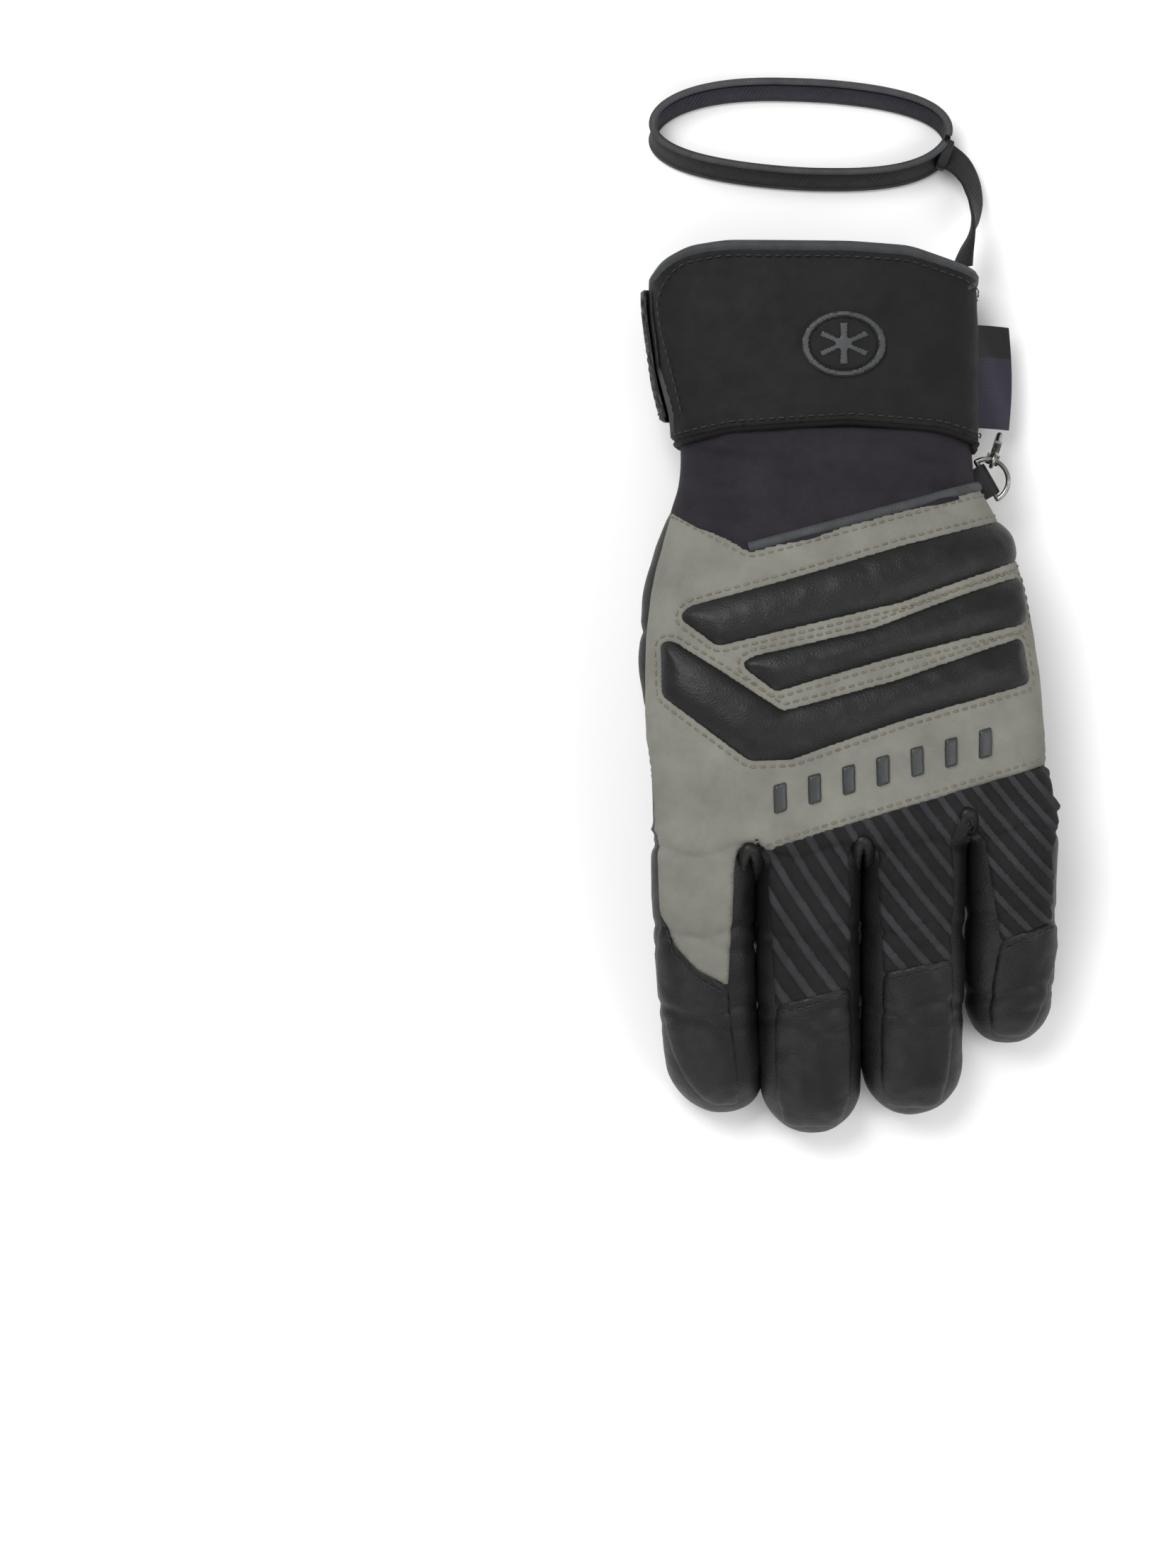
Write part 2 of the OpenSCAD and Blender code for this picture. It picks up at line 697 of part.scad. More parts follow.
// The thumb's back faces the floor, and its front faces the palm
module thumb_back() {
    color(grey) thumb_panel(0, 0.7, 218, front_low);
}
module thumb_cap() {
    color([0.06, 0.06, 0.06])
        hollow(
            [for (w = cap_steps) [for (a = cap_angles) thumb_point(cap_share(0.705, a, w), a + 180, 0)]],
            [for (w = cap_steps) [for (a = cap_angles)
                thumb_point(cap_share(0.705, a, w * cap_inner), a + 180, -skin_t)]],
            true
        );
}
module thumb_front() {
    color([0.06, 0.06, 0.06]) thumb_panel(0, cap_from - 0.004, 42, 138);
}
module thumb_sidewalls() {
    color([0.055, 0.055, 0.055]) {
        thumb_panel(0, cap_from - 0.004, 138.6, 216.8);
        thumb_panel(0, cap_from - 0.004, -36.8, 41.4);
    }
}
module thumb_liner() {
    color([0.8, 0.8, 0.78])
        hollow(
            [for (t = liner_steps) thumb_ring(t, -skin_t - 2 * slit)],
            [for (t = liner_steps) thumb_ring(t * 0.975, -skin_t - batting_t)],
            true
        );
}

/* The closure */

tab_y = 109.5; // middle of the tab's width
tab_root = 188; // angle of the tab's hinge round the cuff
tab_end = 294;
tab_in = CUFF_OUT + 0.4;
hook_tape_t = 1;
tab_span = [for (i = [0:12]) tab_root + 2 + i * (tab_end - tab_root - 2) / 12];
// A band round the cuff across the tab's width, inset from both its edges
module tab_band(inset, angles, low, high) {
    ys = [for (k = [-1:1]) sy * tab_y + k * (tab_w / 2 - inset)];
    plate(
        [for (y = ys) [for (a = angles) hand_point(y, a, high)]],
        [for (y = ys) [for (a = angles) hand_point(y, a, low)]]
    );
}
module closure_tab() {
    color([0.055, 0.055, 0.055])
        tab_band(0, tab_span, tab_in + hook_tape_t + slit, tab_in + hook_tape_t + slit + tab_t);
}
// The hook tape under the tab's free end, showing 3 mm past it
module hook_patch() {
    color([0.03, 0.03, 0.03])
        tab_band(2.5, concat([for (i = [8:12]) tab_span[i]], [tab_end + 6]), tab_in, tab_in + hook_tape_t);
}

/* The D-ring and its snap hook */

RING_AT = [44 * sx, 64.5 * sy, 24]; // middle of the D-ring's straight bar
ring_turn = -60; // direction of the bar, seen from above
webbing_t = 0.9;
strap_l = 4.3; // from the ring's bar to the seam of the hand
bar_clear = 0.06;
module at_ring() {
    translate(RING_AT) rotate(ring_turn) children();
}

// A strap folded round the D-ring's bar and sewn under the wrist panel
module ring_webbing() {
    color([0.05, 0.05, 0.05])
        at_ring()
            rotate([0, 90, 0])
                difference() {
                    union() {
                        cylinder(r = wire_d / 2 + bar_clear + webbing_t, h = 10.6, center = true);
                        translate([-wire_d / 2 - bar_clear - webbing_t, -strap_l, -5.3])
                            cube([wire_d + 2 * bar_clear + 2 * webbing_t, strap_l, 10.6]);
                    }
                    cylinder(r = wire_d / 2 + bar_clear, h = 12, center = true);
                    translate([-0.15, -strap_l - 0.1, -6]) cube([0.3, strap_l, 12]);
                }
}

module d_ring() {
    color([0.35, 0.35, 0.36])
        at_ring() {
            rotate([0, 90, 0]) cylinder(d = wire_d, h = 2 * ring_r, center = true);
            rotate_extrude(angle = 180) translate([ring_r, 0]) circle(d = wire_d, $fn = 32);
            for (s = [-1, 1]) translate([s * ring_r, 0, 0]) sphere(d = wire_d, $fn = 32);
        }
}

// The snap hook hangs on the ring where its wire runs along X
link_turn = 133; // place of the link round the ring's arc
LINK_AT = RING_AT + ring_r * [cos(link_turn + ring_turn), sin(link_turn + ring_turn), 0];
hook_drop = -60; // how far the hook hangs below level
hook_t = 2;
eye_r = 2.1;
hook_w = 8;
module at_link() {
    translate(LINK_AT) rotate([hook_drop, 0, link_turn + ring_turn - 90]) children();
}
// Wire of radius r along the local Y and Z plane's curve: an arc of radius big from angle a0 over da
module wire_arc(big, r, a0, da) {
    rotate([0, 90, 0]) rotate([0, 0, a0]) rotate_extrude(angle = da) translate([big, 0]) circle(r, $fn = 24);
}
module snap_hook() {
    color([0.3, 0.3, 0.31])
        at_link() {
            wire_arc(eye_r, 0.75, 0, 360);
            // neck, spine and bow of the hook, with the nose that the gate closes on
            translate([0, eye_r, 0]) rotate([-90, 0, 0]) cylinder(r = 1.3, h = 3.2);
            translate([0, eye_r + 3, 0]) cube([2.4, 1.6, hook_w], center = true);
            // lugs and pin of the gate
            translate(gate_root - [0, 2.2, 0]) cube([4, 1.6, 2], center = true);
            for (s = [-1, 1]) translate(gate_root + [s * 1.65, -0.8, 0]) cube([0.7, 3.2, 2], center = true);
            translate(gate_root) rotate([0, 90, 0]) cylinder(r = pin_r, h = 4, center = true);
            translate([0, eye_r + 3, hook_w / 2 - hook_t / 2])
                rotate([-90, 0, 0]) cylinder(d = hook_t, h = hook_l - eye_r - 3 - hook_w / 2);
            translate([0, hook_l - hook_w / 2, 0]) wire_arc(hook_w / 2 - hook_t / 2, hook_t / 2, 0, 180);
            translate([0, hook_l - hook_w / 2 - 1, -hook_w / 2 + hook_t / 2])
                rotate([-90, 0, 0]) cylinder(d = hook_t, h = 1.2);
        }
}

// The sprung gate turns on a pin across the hook's shoulder
gate_root = [0, eye_r + 5.2, -hook_w / 2 + hook_t / 2];
pin_r = 0.4;
module snap_gate() {
    color([0.42, 0.42, 0.43])
        at_link() translate(gate_root) {
            difference() {
                union() {
                    rotate([0, 90, 0]) cylinder(d = 2, h = 2.4, center = true);
                    rotate([-90, 0, 0]) cylinder(d = 1.5, h = hook_l - hook_w / 2 - 1.3 - gate_root[1]);
                }
                rotate([0, 90, 0]) cylinder(r = pin_r + 0.05, h = 3, center = true);
            }
        }
}

/* The leash */

// Middle of the tether: [x, y, z, direction of its width seen along it]
TETHER = [[36, 133, 19, 80], [37, 139, 17.5, 70], [38.4, 144, 15, 20], [39.6, 149, 12, -30], [40.4, 154, 9.5, -45],
    [39, 159, 7.8, -50], [36, 163, 7, -50], [32, 166, 6.5, -55]];
tether_t = 1.2;
module flat_strap(route, w, t) {
    bar([for (i = [0:len(route) - 1])
        let (
            p = [for (k = [0:2]) route[i][k]],
            a = [for (k = [0:2]) route[max(i - 1, 0)][k]],
            b = [for (k = [0:2]) route[min(i + 1, len(route) - 1)][k]],
            along = (b - a) / norm(b - a),
            side = cross(along, [0, 0, 1]) / norm(cross(along, [0, 0, 1])),
            up = cross(side, along),
            wide = cos(route[i][3]) * side + sin(route[i][3]) * up,
            thin = cross(wide, along)
        )
        [for (k = [[1, 1], [-1, 1], [-1, -1], [1, -1]]) p + k[0] * wide * w / 2 + k[1] * thin * t / 2]]);
}
module leash_tether() {
    color([0.05, 0.05, 0.05]) flat_strap(TETHER, webbing_w, tether_t);
}

// The wrist loop lies on its edge and leans away from the cuff: [x, y] of its lower edge, then of a full turn
loop_mid = [-15, 171];
loop_half = [46, 14.5];
loop_lean = 5;
band_t = 2;
loop_steps = 36;
function loop_point(i, out, up) =
    let (a = i * 360 / loop_steps - 12)
    [loop_mid[0] + (loop_half[0] + out) * power(cos(a), 2.3) - 4 * sin(a),
     loop_mid[1] + (loop_half[1] + out) * sin(a) + loop_lean * up / band_w,
        0.3 + up];
module leash_loop() {
    color([0.05, 0.05, 0.05])
        plate(
            [for (i = [0:loop_steps - 1]) [loop_point(i, band_t / 2, 0), loop_point(i, band_t / 2, band_w)]],
            [for (i = [0:loop_steps - 1]) [loop_point(i, -band_t / 2, 0), loop_point(i, -band_t / 2, band_w)]]
        );
}

module leash_stitch_block() {
    color([0.05, 0.05, 0.05])
        translate([30.6, 168.5, 0.4]) rotate([0, 0, 20]) translate([-3, -4, 0]) cube([3, 10, 11]);
}

back_panel();
knuckle_pad_upper();
knuckle_pad_middle();
knuckle_pad_lower();
pad_foam();
rubber_ribs();
wrist_panel();
wrist_piping();
palm_leather();
palm_reinforcement();
side_strips();
wrist_gather();
wrist_elastic();
thumb_mound();
hand_insulation();
hand_lining();
cuff_insulation();
cuff_back();
cuff_palm();
cuff_gusset();
cuff_back_binding();
cuff_palm_binding();
cuff_emblem();
side_label();
ring_webbing();
index_back();
index_cap();
index_front();
index_sidewalls();
index_liner();
middle_back();
middle_cap();
middle_front();
middle_sidewalls();
middle_liner();
ring_finger_back();
ring_finger_cap();
ring_finger_front();
ring_finger_sidewalls();
ring_finger_liner();
little_back();
little_cap();
little_front();
little_sidewalls();
little_liner();
thumb_back();
thumb_cap();
thumb_front();
thumb_sidewalls();
thumb_liner();
closure_tab();
hook_patch();
d_ring();
snap_hook();
snap_gate();
leash_tether();
leash_loop();
leash_stitch_block();
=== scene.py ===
"""Looks of the ski glove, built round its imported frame.

Lengths are in millimetres until a mesh is made. Every soft panel is cut from a flat outline, as a glove
maker would, and laid on the padded form of the hand, a finger or the cuff.
"""

import math

import bpy
import numpy as np
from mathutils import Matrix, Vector, noise
from mathutils.bvhtree import BVHTree
from mathutils.geometry import delaunay_2d_cdt


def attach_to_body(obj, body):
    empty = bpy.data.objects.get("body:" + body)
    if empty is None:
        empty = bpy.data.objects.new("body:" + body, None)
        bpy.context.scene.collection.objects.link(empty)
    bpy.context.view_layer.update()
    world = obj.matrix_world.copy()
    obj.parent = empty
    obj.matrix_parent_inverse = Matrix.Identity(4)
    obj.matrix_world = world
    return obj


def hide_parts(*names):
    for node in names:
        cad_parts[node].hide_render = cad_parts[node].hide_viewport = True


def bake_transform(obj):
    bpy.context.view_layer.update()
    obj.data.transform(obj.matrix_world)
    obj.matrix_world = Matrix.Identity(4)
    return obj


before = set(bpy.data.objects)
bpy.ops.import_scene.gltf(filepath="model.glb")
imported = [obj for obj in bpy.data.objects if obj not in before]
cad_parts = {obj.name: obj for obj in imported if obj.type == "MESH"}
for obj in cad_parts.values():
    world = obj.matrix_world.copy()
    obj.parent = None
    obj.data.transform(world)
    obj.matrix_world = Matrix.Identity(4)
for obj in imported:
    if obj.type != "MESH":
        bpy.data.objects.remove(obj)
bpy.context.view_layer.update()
MM = 0.001
TAU = 2 * math.pi

# ---------------------------------------------------------------- the glove's own shape

# The hand: y, left x, right x, bottom z, top z
HAND = [
    (-60, -61, 65, 27, 56), (-44, -61, 64, 26, 57), (-28, -61.5, 61.5, 25.5, 58.5),
    (-8, -62.5, 60, 24.5, 59), (16, -62, 57.5, 22.5, 57.5), (36, -59.5, 53, 19, 54),
    (52, -54.5, 46, 15, 49.5), (66, -51, 37.5, 11, 45.5), (76, -50.5, 38.3, 9.5, 41.5),
    (95, -55, 38.3, 7.6, 40), (120, -58.3, 37.8, 7.4, 38), (145, -57, 36.8, 7.4, 37),
]
# y and the sideways lean there, then x and the y of the fingers' roots
LEAN = [(-60, 0.13), (0, 0.13), (30, 0.1), (60, 0.04), (90, 0), (145, 0)]
ROOT = [(-70, -47), (-62, -47.5), (-30, -49.5), (4, -48), (36, -43.5), (66, -38.5), (75, -38)]
# Exponents of the oval sections
HAND_POWER = 2 / 2.5
FINGER_POWER = 2 / 2.3
TIP_LENGTH = 1.08  # of a finger's half width
TIP_ROUND = (2.2, 1 / 2.1)  # how a finger's tip closes
FINGER_RADIUS = 14.5  # turns an angle round a finger into a distance
THUMB_RADIUS = 17
FLOOR_GAP = 0.03
FORM_VOXEL = 1.3

# Rays that find a form start this far outside its formula's surface and aim this far inside it
RAY_OUT, RAY_IN_HAND, RAY_IN_FINGER, RAY_LENGTH = 9, -8, -9, 40.0

# Fingers: knuckle y, tip y, root x, tip x, root z, lowest tip z, half width at the root, half height
FINGERS = {
    "index": (-49.5, -134.5, -45.4, -38.5, 47, 6.7, 16.2, 13.6),
    "middle": (-49.7, -141, -12.7, -10.3, 43, 7.4, 16.8, 13.6),
    "ring_finger": (-48.2, -135, 20.3, 21, 38.6, 7.7, 16.8, 13.6),
    "little": (-43.4, -112.5, 51.2, 51.2, 34.6, 7.2, 14.7, 13.2),
}
NAMES = list(FINGERS)
CROTCH = (-29.4, 3.9, 36.8)  # x between neighbouring fingers
CUTS = (-41.0, -42.0, -41.0, -36.0)  # y where each finger's own pieces begin

# The thumb: y, x, z, half width, half thickness
THUMB = [
    (-81, -28, 11, 15, 11), (-67, -30.5, 12.6, 16, 12.6), (-42, -36, 13.4, 18.6, 13.2),
    (-18, -40.5, 13.6, 21, 13.4), (6, -43.2, 13.7, 22.2, 13.4), (30, -43, 14, 20.8, 13.6),
    (47, -40.5, 17, 18.5, 13.6), (60, -37, 22, 15, 12), (72, -36, 24, 13, 11),
]
CUFF_OUT = 3.4  # the cuff's surface, out of the hand's

# Outlines on the back of the hand, seen from above
PAD_UPPER = [
    (-52, 21), (-49, 23.5), (-14.5, 33), (17, 42.5), (50, 51), (52.7, 41.5), (51, 39), (15, 26),
    (-41, 12.5),
]
PAD_MIDDLE = [
    (-33, 6), (-30, 8), (7, 16.5), (36, 27.5), (53, 33), (55, 21.5), (53, 19.5), (14, 9.5), (-23, -1.5),
]
PAD_LOWER = [
    (-57.5, 12.5), (-54.5, 12.5), (-21, -9), (14, 0.5), (53, 14), (55, 1), (17, -10), (-19, -22.5),
    (-31, -23), (-57.5, -3),
]
PADS = {"knuckle_pad_upper": PAD_UPPER, "knuckle_pad_middle": PAD_MIDDLE, "knuckle_pad_lower": PAD_LOWER}
# Upper and lower edges of the grey panel
WRIST_V = [(-66, 62), (-53, 54), (-31, 41.5), (44.5, 62.5), (60, 66)]
BACK_EDGE = [(-30, -52.4), (0, -43.3), (30, -34.2), (63, -24.2)]
# The ribbed panel over the three outer fingers, with an arch over each gap
RIBBING = [
    (-29.5, -50.6), (-26.6, -52.5), (-25.8, -57), (-22.6, -100.2), (0.8, -94.2), (0.4, -56), (1.1, -49.4),
    (4.2, -46.2), (7.4, -49.4), (8.6, -56), (11, -90), (32.3, -85.5), (33.2, -48), (33.8, -41),
    (36.8, -37.6), (40.0, -41), (42.0, -48), (47.8, -80), (63.9, -74), (64.0, -60), (62.6, -42),
    (61.2, -24.6),
]
# Top of the leather arch over each gap: x, y and half its width
ARCHES = [(-31.0, -50.2, 2.8), (4.2, -47.6, 2.5), (36.8, -39.2, 2.8)]
# The cuff end of each leather cap, and its sides down to the tip
CAPS = {
    "index": [
        (-58.7, -70.6), (-54.6, -80.2), (-47.2, -88.4), (-37.6, -93.2), (-35.4, -112), (-34.0, -126),
        (-33.2, -131.5), (-43, -131.5), (-49.5, -125), (-54.6, -115), (-58.6, -100), (-59.8, -85),
    ],
    "middle": [
        (-22.7, -99.8), (0.9, -93.8), (1.4, -115), (1.0, -130), (-1.4, -138.4), (-19.4, -138.4),
        (-21.6, -130), (-22.5, -115),
    ],
    "ring_finger": [
        (10.9, -89.6), (32.4, -85.1), (33.0, -105), (32.2, -122), (29.4, -132.3), (12.6, -132.3),
        (10.8, -124), (10.5, -105),
    ],
    "little": [
        (47.7, -79.6), (65.6, -73.0), (64.6, -88), (62, -100), (57.2, -109.8), (46.2, -109.8),
        (44.4, -103), (45.6, -92),
    ],
}


def eased(table, reach=10):
    """The table's columns at every millimetre of y, with its corners smoothed."""
    table = np.array(sorted(table), float)
    y = np.arange(table[0, 0] - 30, table[-1, 0] + 31, 1.0)
    window = np.hanning(2 * reach + 3)[1:-1]
    window /= window.sum()
    columns = []
    for k in range(1, table.shape[1]):
        line = np.pad(np.interp(y, table[:, 0], table[:, k]), reach, mode="edge")
        columns.append(np.convolve(line, window, "valid"))
    return y, columns


HAND_LINES = eased(HAND)
LEAN_LINE = eased(LEAN)
THUMB_LINES = eased(THUMB, 7)


def read(lines, y, column):
    return np.interp(y, lines[0], lines[1][column])


def power(v, n):
    return np.sign(v) * np.abs(v) ** n


def hand_frame(y):
    """Middle x, half width, middle z, half height and lean of the hand at y."""
    left, right, low, high = (read(HAND_LINES, y, k) for k in range(4))
    return (left + right) / 2, (right - left) / 2, (low + high) / 2, (high - low) / 2, read(LEAN_LINE, y, 0)


def hand_point(y, a, off=0.0):
    mx, hx, mz, hz, lean = hand_frame(y)
    x = mx + (hx + off) * power(np.cos(a), HAND_POWER)
    z = mz + (hz + off) * power(np.sin(a), HAND_POWER) - lean * x
    return np.stack([x, y + 0 * x, z], axis=-1)


def finger_mid(f, s):
    """Middle x, y and z of a finger at s past its knuckle, with its half width and its taper."""
    y0, tip, x0, x1, z0, z1, half = f[:7]
    u = np.clip(s / (y0 - tip), 0, 1)
    return x0 + (x1 - x0) * u**2.4, y0 - s, z1 + (z0 - z1) * (1 - u**1.3), half * (1 - 0.055 * u)


def finger_point(f, s, a, off=0.0):
    length, tip = f[0] - f[1], TIP_LENGTH * f[6]
    u = np.clip((s - length + tip) / (tip + off), 0, 1)
    k = np.where(s < length - tip, 1.0, np.maximum(0, 1 - u ** TIP_ROUND[0]) ** TIP_ROUND[1])
    mx, my, mz, half = finger_mid(f, s)
    x = mx + (half + off) * k * power(np.cos(a), FINGER_POWER)
    z = mz + (f[7] + off) * k * power(np.sin(a), FINGER_POWER)
    return np.stack([x, my + 0 * x, z], axis=-1)


def thumb_point(y, a, off=0.0):
    mx, mz, hx, hz = (read(THUMB_LINES, y, k) for k in range(4))
    end = THUMB[0][0] - off
    u = np.clip((end + 17 + off - y) / (17 + off), 0, 1)
    k = np.sqrt(np.maximum(0, 1 - u * u))
    x = mx + (hx + off) * k * power(np.cos(a), FINGER_POWER)
    z = mz + (hz + off) * k * power(np.sin(a), FINGER_POWER)
    return np.stack([x, y + 0 * x, z], axis=-1)


# ---------------------------------------------------------------- meshes

PIECES = {}


def mesh_object(name, points, faces, material, sharp=50):
    """A new object from points in millimetres, pressed flat where it would go into the floor."""
    mesh = bpy.data.meshes.new(name)
    points = np.maximum(np.asarray(points, float), (-np.inf, -np.inf, FLOOR_GAP))
    mesh.from_pydata((points * MM).tolist(), [], [list(map(int, f)) for f in faces])
    mesh.validate()
    mesh.shade_smooth()
    if sharp:
        mesh.set_sharp_from_angle(angle=math.radians(sharp))
    obj = bpy.data.objects.new(name, mesh)
    bpy.context.scene.collection.objects.link(obj)
    if material:
        mesh.materials.append(material)
    PIECES[name] = obj
    return obj


def loft(rings, close_ends=True):
    """Points and faces of a tube through rings of equal length, with closed ends."""
    n = len(rings[0])
    points = np.concatenate(rings)
    faces = []
    for i in range(len(rings) - 1):
        for j in range(n):
            k = (j + 1) % n
            faces.append((i * n + j, (i + 1) * n + j, (i + 1) * n + k, i * n + k))
    if close_ends:
        faces.append(tuple(range(n)))
        faces.append(tuple(range(len(points) - 1, len(points) - 1 - n, -1)))
    return points, faces


def joined(parts):
    """One list of points and one of faces from several."""
    points, faces, start = [], [], 0
    for p, f in parts:
        points.append(np.asarray(p, float))
        faces += [tuple(i + start for i in face) for face in f]
        start += len(p)
    return np.concatenate(points), faces


def modified(points, faces, *modifiers):
    """Points and triangles of a mesh after its modifiers, each given as (kind, settings)."""
    obj = mesh_object("scratch", points, faces, None, sharp=0)
    for kind, settings in modifiers:
        modifier = obj.modifiers.new(kind, kind)
        for key, value in settings.items():
            setattr(modifier, key, value)
    result = obj.evaluated_get(bpy.context.evaluated_depsgraph_get()).to_mesh()
    result.calc_loop_triangles()
    p = np.empty(len(result.vertices) * 3)
    result.vertices.foreach_get("co", p)
    t = np.empty(len(result.loop_triangles) * 3, int)
    result.loop_triangles.foreach_get("vertices", t)
    mesh = obj.data
    bpy.data.objects.remove(obj)
    bpy.data.meshes.remove(mesh)
    del PIECES["scratch"]
    return p.reshape(-1, 3) / MM, t.reshape(-1, 3)


def unit(vectors):
    return vectors / np.maximum(np.linalg.norm(vectors, axis=1, keepdims=True), 1e-9)


def vertex_normals(points, triangles):
    normals = np.zeros_like(points)
    a, b, c = (points[triangles[:, k]] for k in range(3))
    face = np.cross(b - a, c - a)
    for k in range(3):
        np.add.at(normals, triangles[:, k], face)
    return unit(normals)


class Form:
    """A padded form that panels are laid on: points, triangles and smooth normals, with ray casts."""

    def __init__(self, points, triangles):
        self.points, self.triangles = points, triangles
        self.normals = vertex_normals(points, triangles)
        self.tree = BVHTree.FromPolygons(points.tolist(), triangles.tolist())

    def part(self, keep):
        """The form of the triangles whose middle passes the test keep."""
        middle = self.points[self.triangles].mean(axis=1)
        part = Form.__new__(Form)
        part.points, part.normals = self.points, self.normals
        part.triangles = self.triangles[keep(middle)]
        part.tree = BVHTree.FromPolygons(self.points.tolist(), part.triangles.tolist())
        return part

    def meet(self, start, towards, fallback):
        """Where rays from start towards a direction meet the form, and the smooth normals there."""
        hits = np.array(fallback, float)
        normals = -np.asarray(towards, float)
        for i, (p, d) in enumerate(zip(start, towards)):
            place, _, index, _ = self.tree.ray_cast(Vector(p), Vector(d), RAY_LENGTH)
            if place is None:
                continue
            tri = self.triangles[index]
            a, b, c = self.points[tri]
            p = np.array(place)
            area = np.cross(b - a, c - a)
            full = area @ area
            w = np.array([area @ np.cross(c - b, p - b), area @ np.cross(a - c, p - c), 0.0]) / full
            w[2] = 1 - w[0] - w[1]
            corners = self.normals[tri]
            normal = w @ corners
            normals[i] = normal / np.linalg.norm(normal)
            # rounds the flat triangle towards its corners' tangent planes
            planes = p - ((p - np.array([a, b, c])) * corners).sum(axis=1)[:, None] * corners
            hits[i] = 0.25 * p + 0.75 * (w @ planes)
        return hits, normals


# ---------------------------------------------------------------- ways to lay a flat outline on a form

class HandWrap:
    """Lays (u, y) on the hand: u is the distance from the middle of its back, or of its palm."""

    def __init__(self, form, palm=False, off=None):
        self.form, self.palm, self.off = form, palm, off
        angles = np.linspace(math.pi / 2, -math.pi / 2, 721)
        x, z = 60 * power(np.cos(angles), HAND_POWER), 16.5 * power(np.sin(angles), HAND_POWER)
        self.arc = np.concatenate([[0], np.cumsum(np.hypot(np.diff(x), np.diff(z)))])
        self.angle = angles
        self.side = self.arc[360]

    def angle_at(self, u):
        a = np.interp(np.abs(u), self.arc, self.angle)
        a = np.where(u < 0, math.pi - a, a)
        return -a if self.palm else a

    def flat(self, points):
        """(x, y) seen from above, or from below for the palm, as (u, y).

        Past the edge x goes on round the side."""
        points = np.asarray(points, float)
        mx, hx, _, _, _ = hand_frame(points[:, 1])
        r = (points[:, 0] - mx) / hx
        a = np.arccos(np.clip(np.abs(r), 0, 1) ** (1 / HAND_POWER))
        u = np.interp(-a, -self.angle, self.arc) + np.maximum(0, np.abs(r) - 1) * hx
        return np.stack([np.sign(r) * u, points[:, 1]], axis=1)

    def lay(self, flat):
        a = self.angle_at(flat[:, 0])
        y = flat[:, 1]
        if self.off is not None:
            return laid_by_formula(lambda y, a: hand_point(y, a, self.off), y, a)
        inside, outside = hand_point(y, a, RAY_IN_HAND), hand_point(y, a, RAY_OUT)
        towards = unit(inside - outside)
        return self.form.meet(outside, towards, hand_point(y, a))


class TubeWrap:
    """Lays (u, y) on a finger or the thumb: u is the distance round it from the middle of its back."""

    def __init__(self, form, point, radius=FINGER_RADIUS):
        self.form, self.point, self.radius = form, point, radius

    def flat(self, points):
        """(angle in degrees, y) as (u, y)."""
        points = np.asarray(points, float)
        return np.stack([np.radians(90 - points[:, 0]) * self.radius, points[:, 1]], axis=1)

    def lay(self, flat):
        a = math.pi / 2 - flat[:, 0] / self.radius
        y = flat[:, 1]
        outside, inside = self.point(y, a, RAY_OUT), self.point(y, a, RAY_IN_FINGER)
        towards = unit(inside - outside)
        return self.form.meet(outside, towards, self.point(y, a, 0))


def laid_by_formula(point, y, a):
    places = point(y, a)
    along = point(y + 0.2, a) - point(y - 0.2, a)
    around = point(y, a + 0.01) - point(y, a - 0.01)
    normals = unit(np.cross(along, around))
    middle = np.stack(hand_frame(y)[:3:2], axis=1)
    outward = (places[:, [0, 2]] - middle) * normals[:, [0, 2]]
    normals[outward.sum(axis=1) < 0] *= -1
    return places, normals


# ---------------------------------------------------------------- outlines

def rounded(points, radius, closed=True, step=1.0):
    """The line through points with its corners rounded, at even steps."""
    points = np.asarray(points, float)
    n = len(points)
    line = []
    for i in range(n):
        p = points[i]
        if not closed and i in (0, n - 1):
            line.append(p)
            continue
        before, after = points[i - 1] - p, points[(i + 1) % n] - p
        reach = min(radius, 0.45 * np.linalg.norm(before), 0.45 * np.linalg.norm(after))
        start = p + before / np.linalg.norm(before) * reach
        end = p + after / np.linalg.norm(after) * reach
        for t in np.linspace(0, 1, 6):
            line.append((1 - t) ** 2 * start + 2 * t * (1 - t) * p + t * t * end)
    return resampled(np.array(line), step, closed)


def resampled(line, step, closed=False):
    line = np.asarray(line, float)
    if closed:
        line = np.vstack([line, line[:1]])
    lengths = np.concatenate([[0], np.cumsum(np.linalg.norm(np.diff(line, axis=0), axis=1))])
    count = max(2, int(round(lengths[-1] / step)))
    at = np.linspace(0, lengths[-1], count + 1)
    out = np.stack([np.interp(at, lengths, line[:, k]) for k in range(line.shape[1])], axis=1)
    return out[:-1] if closed else out


def inside(points, outline):
    x, y = points[:, 0][:, None], points[:, 1][:, None]
    x0, y0 = outline[:, 0][None], outline[:, 1][None]
    x1, y1 = np.roll(x0, -1), np.roll(y0, -1)
    crosses = ((y0 > y) != (y1 > y)) & (x < (x1 - x0) * (y - y0) / np.where(y1 == y0, 1e-9, y1 - y0) + x0)
    return crosses.sum(axis=1) % 2 == 1


def distance_to(points, segments):
    """Distance of each point to the nearest of the segments (start, end)."""
    best = np.full(len(points), 1e9)
    for i in range(0, len(points), 4000):
        p = points[i:i + 4000][:, None]
        a, b = segments[0][None], segments[1][None]
        d = b - a
        t = np.clip(((p - a) * d).sum(-1) / np.maximum((d * d).sum(-1), 1e-9), 0, 1)
        best[i:i + 4000] = np.linalg.norm(p - (a + t[..., None] * d), axis=-1).min(axis=1)
    return best


def edges_of(loops):
    return np.concatenate(loops), np.concatenate([np.roll(l, -1, axis=0) for l in loops])


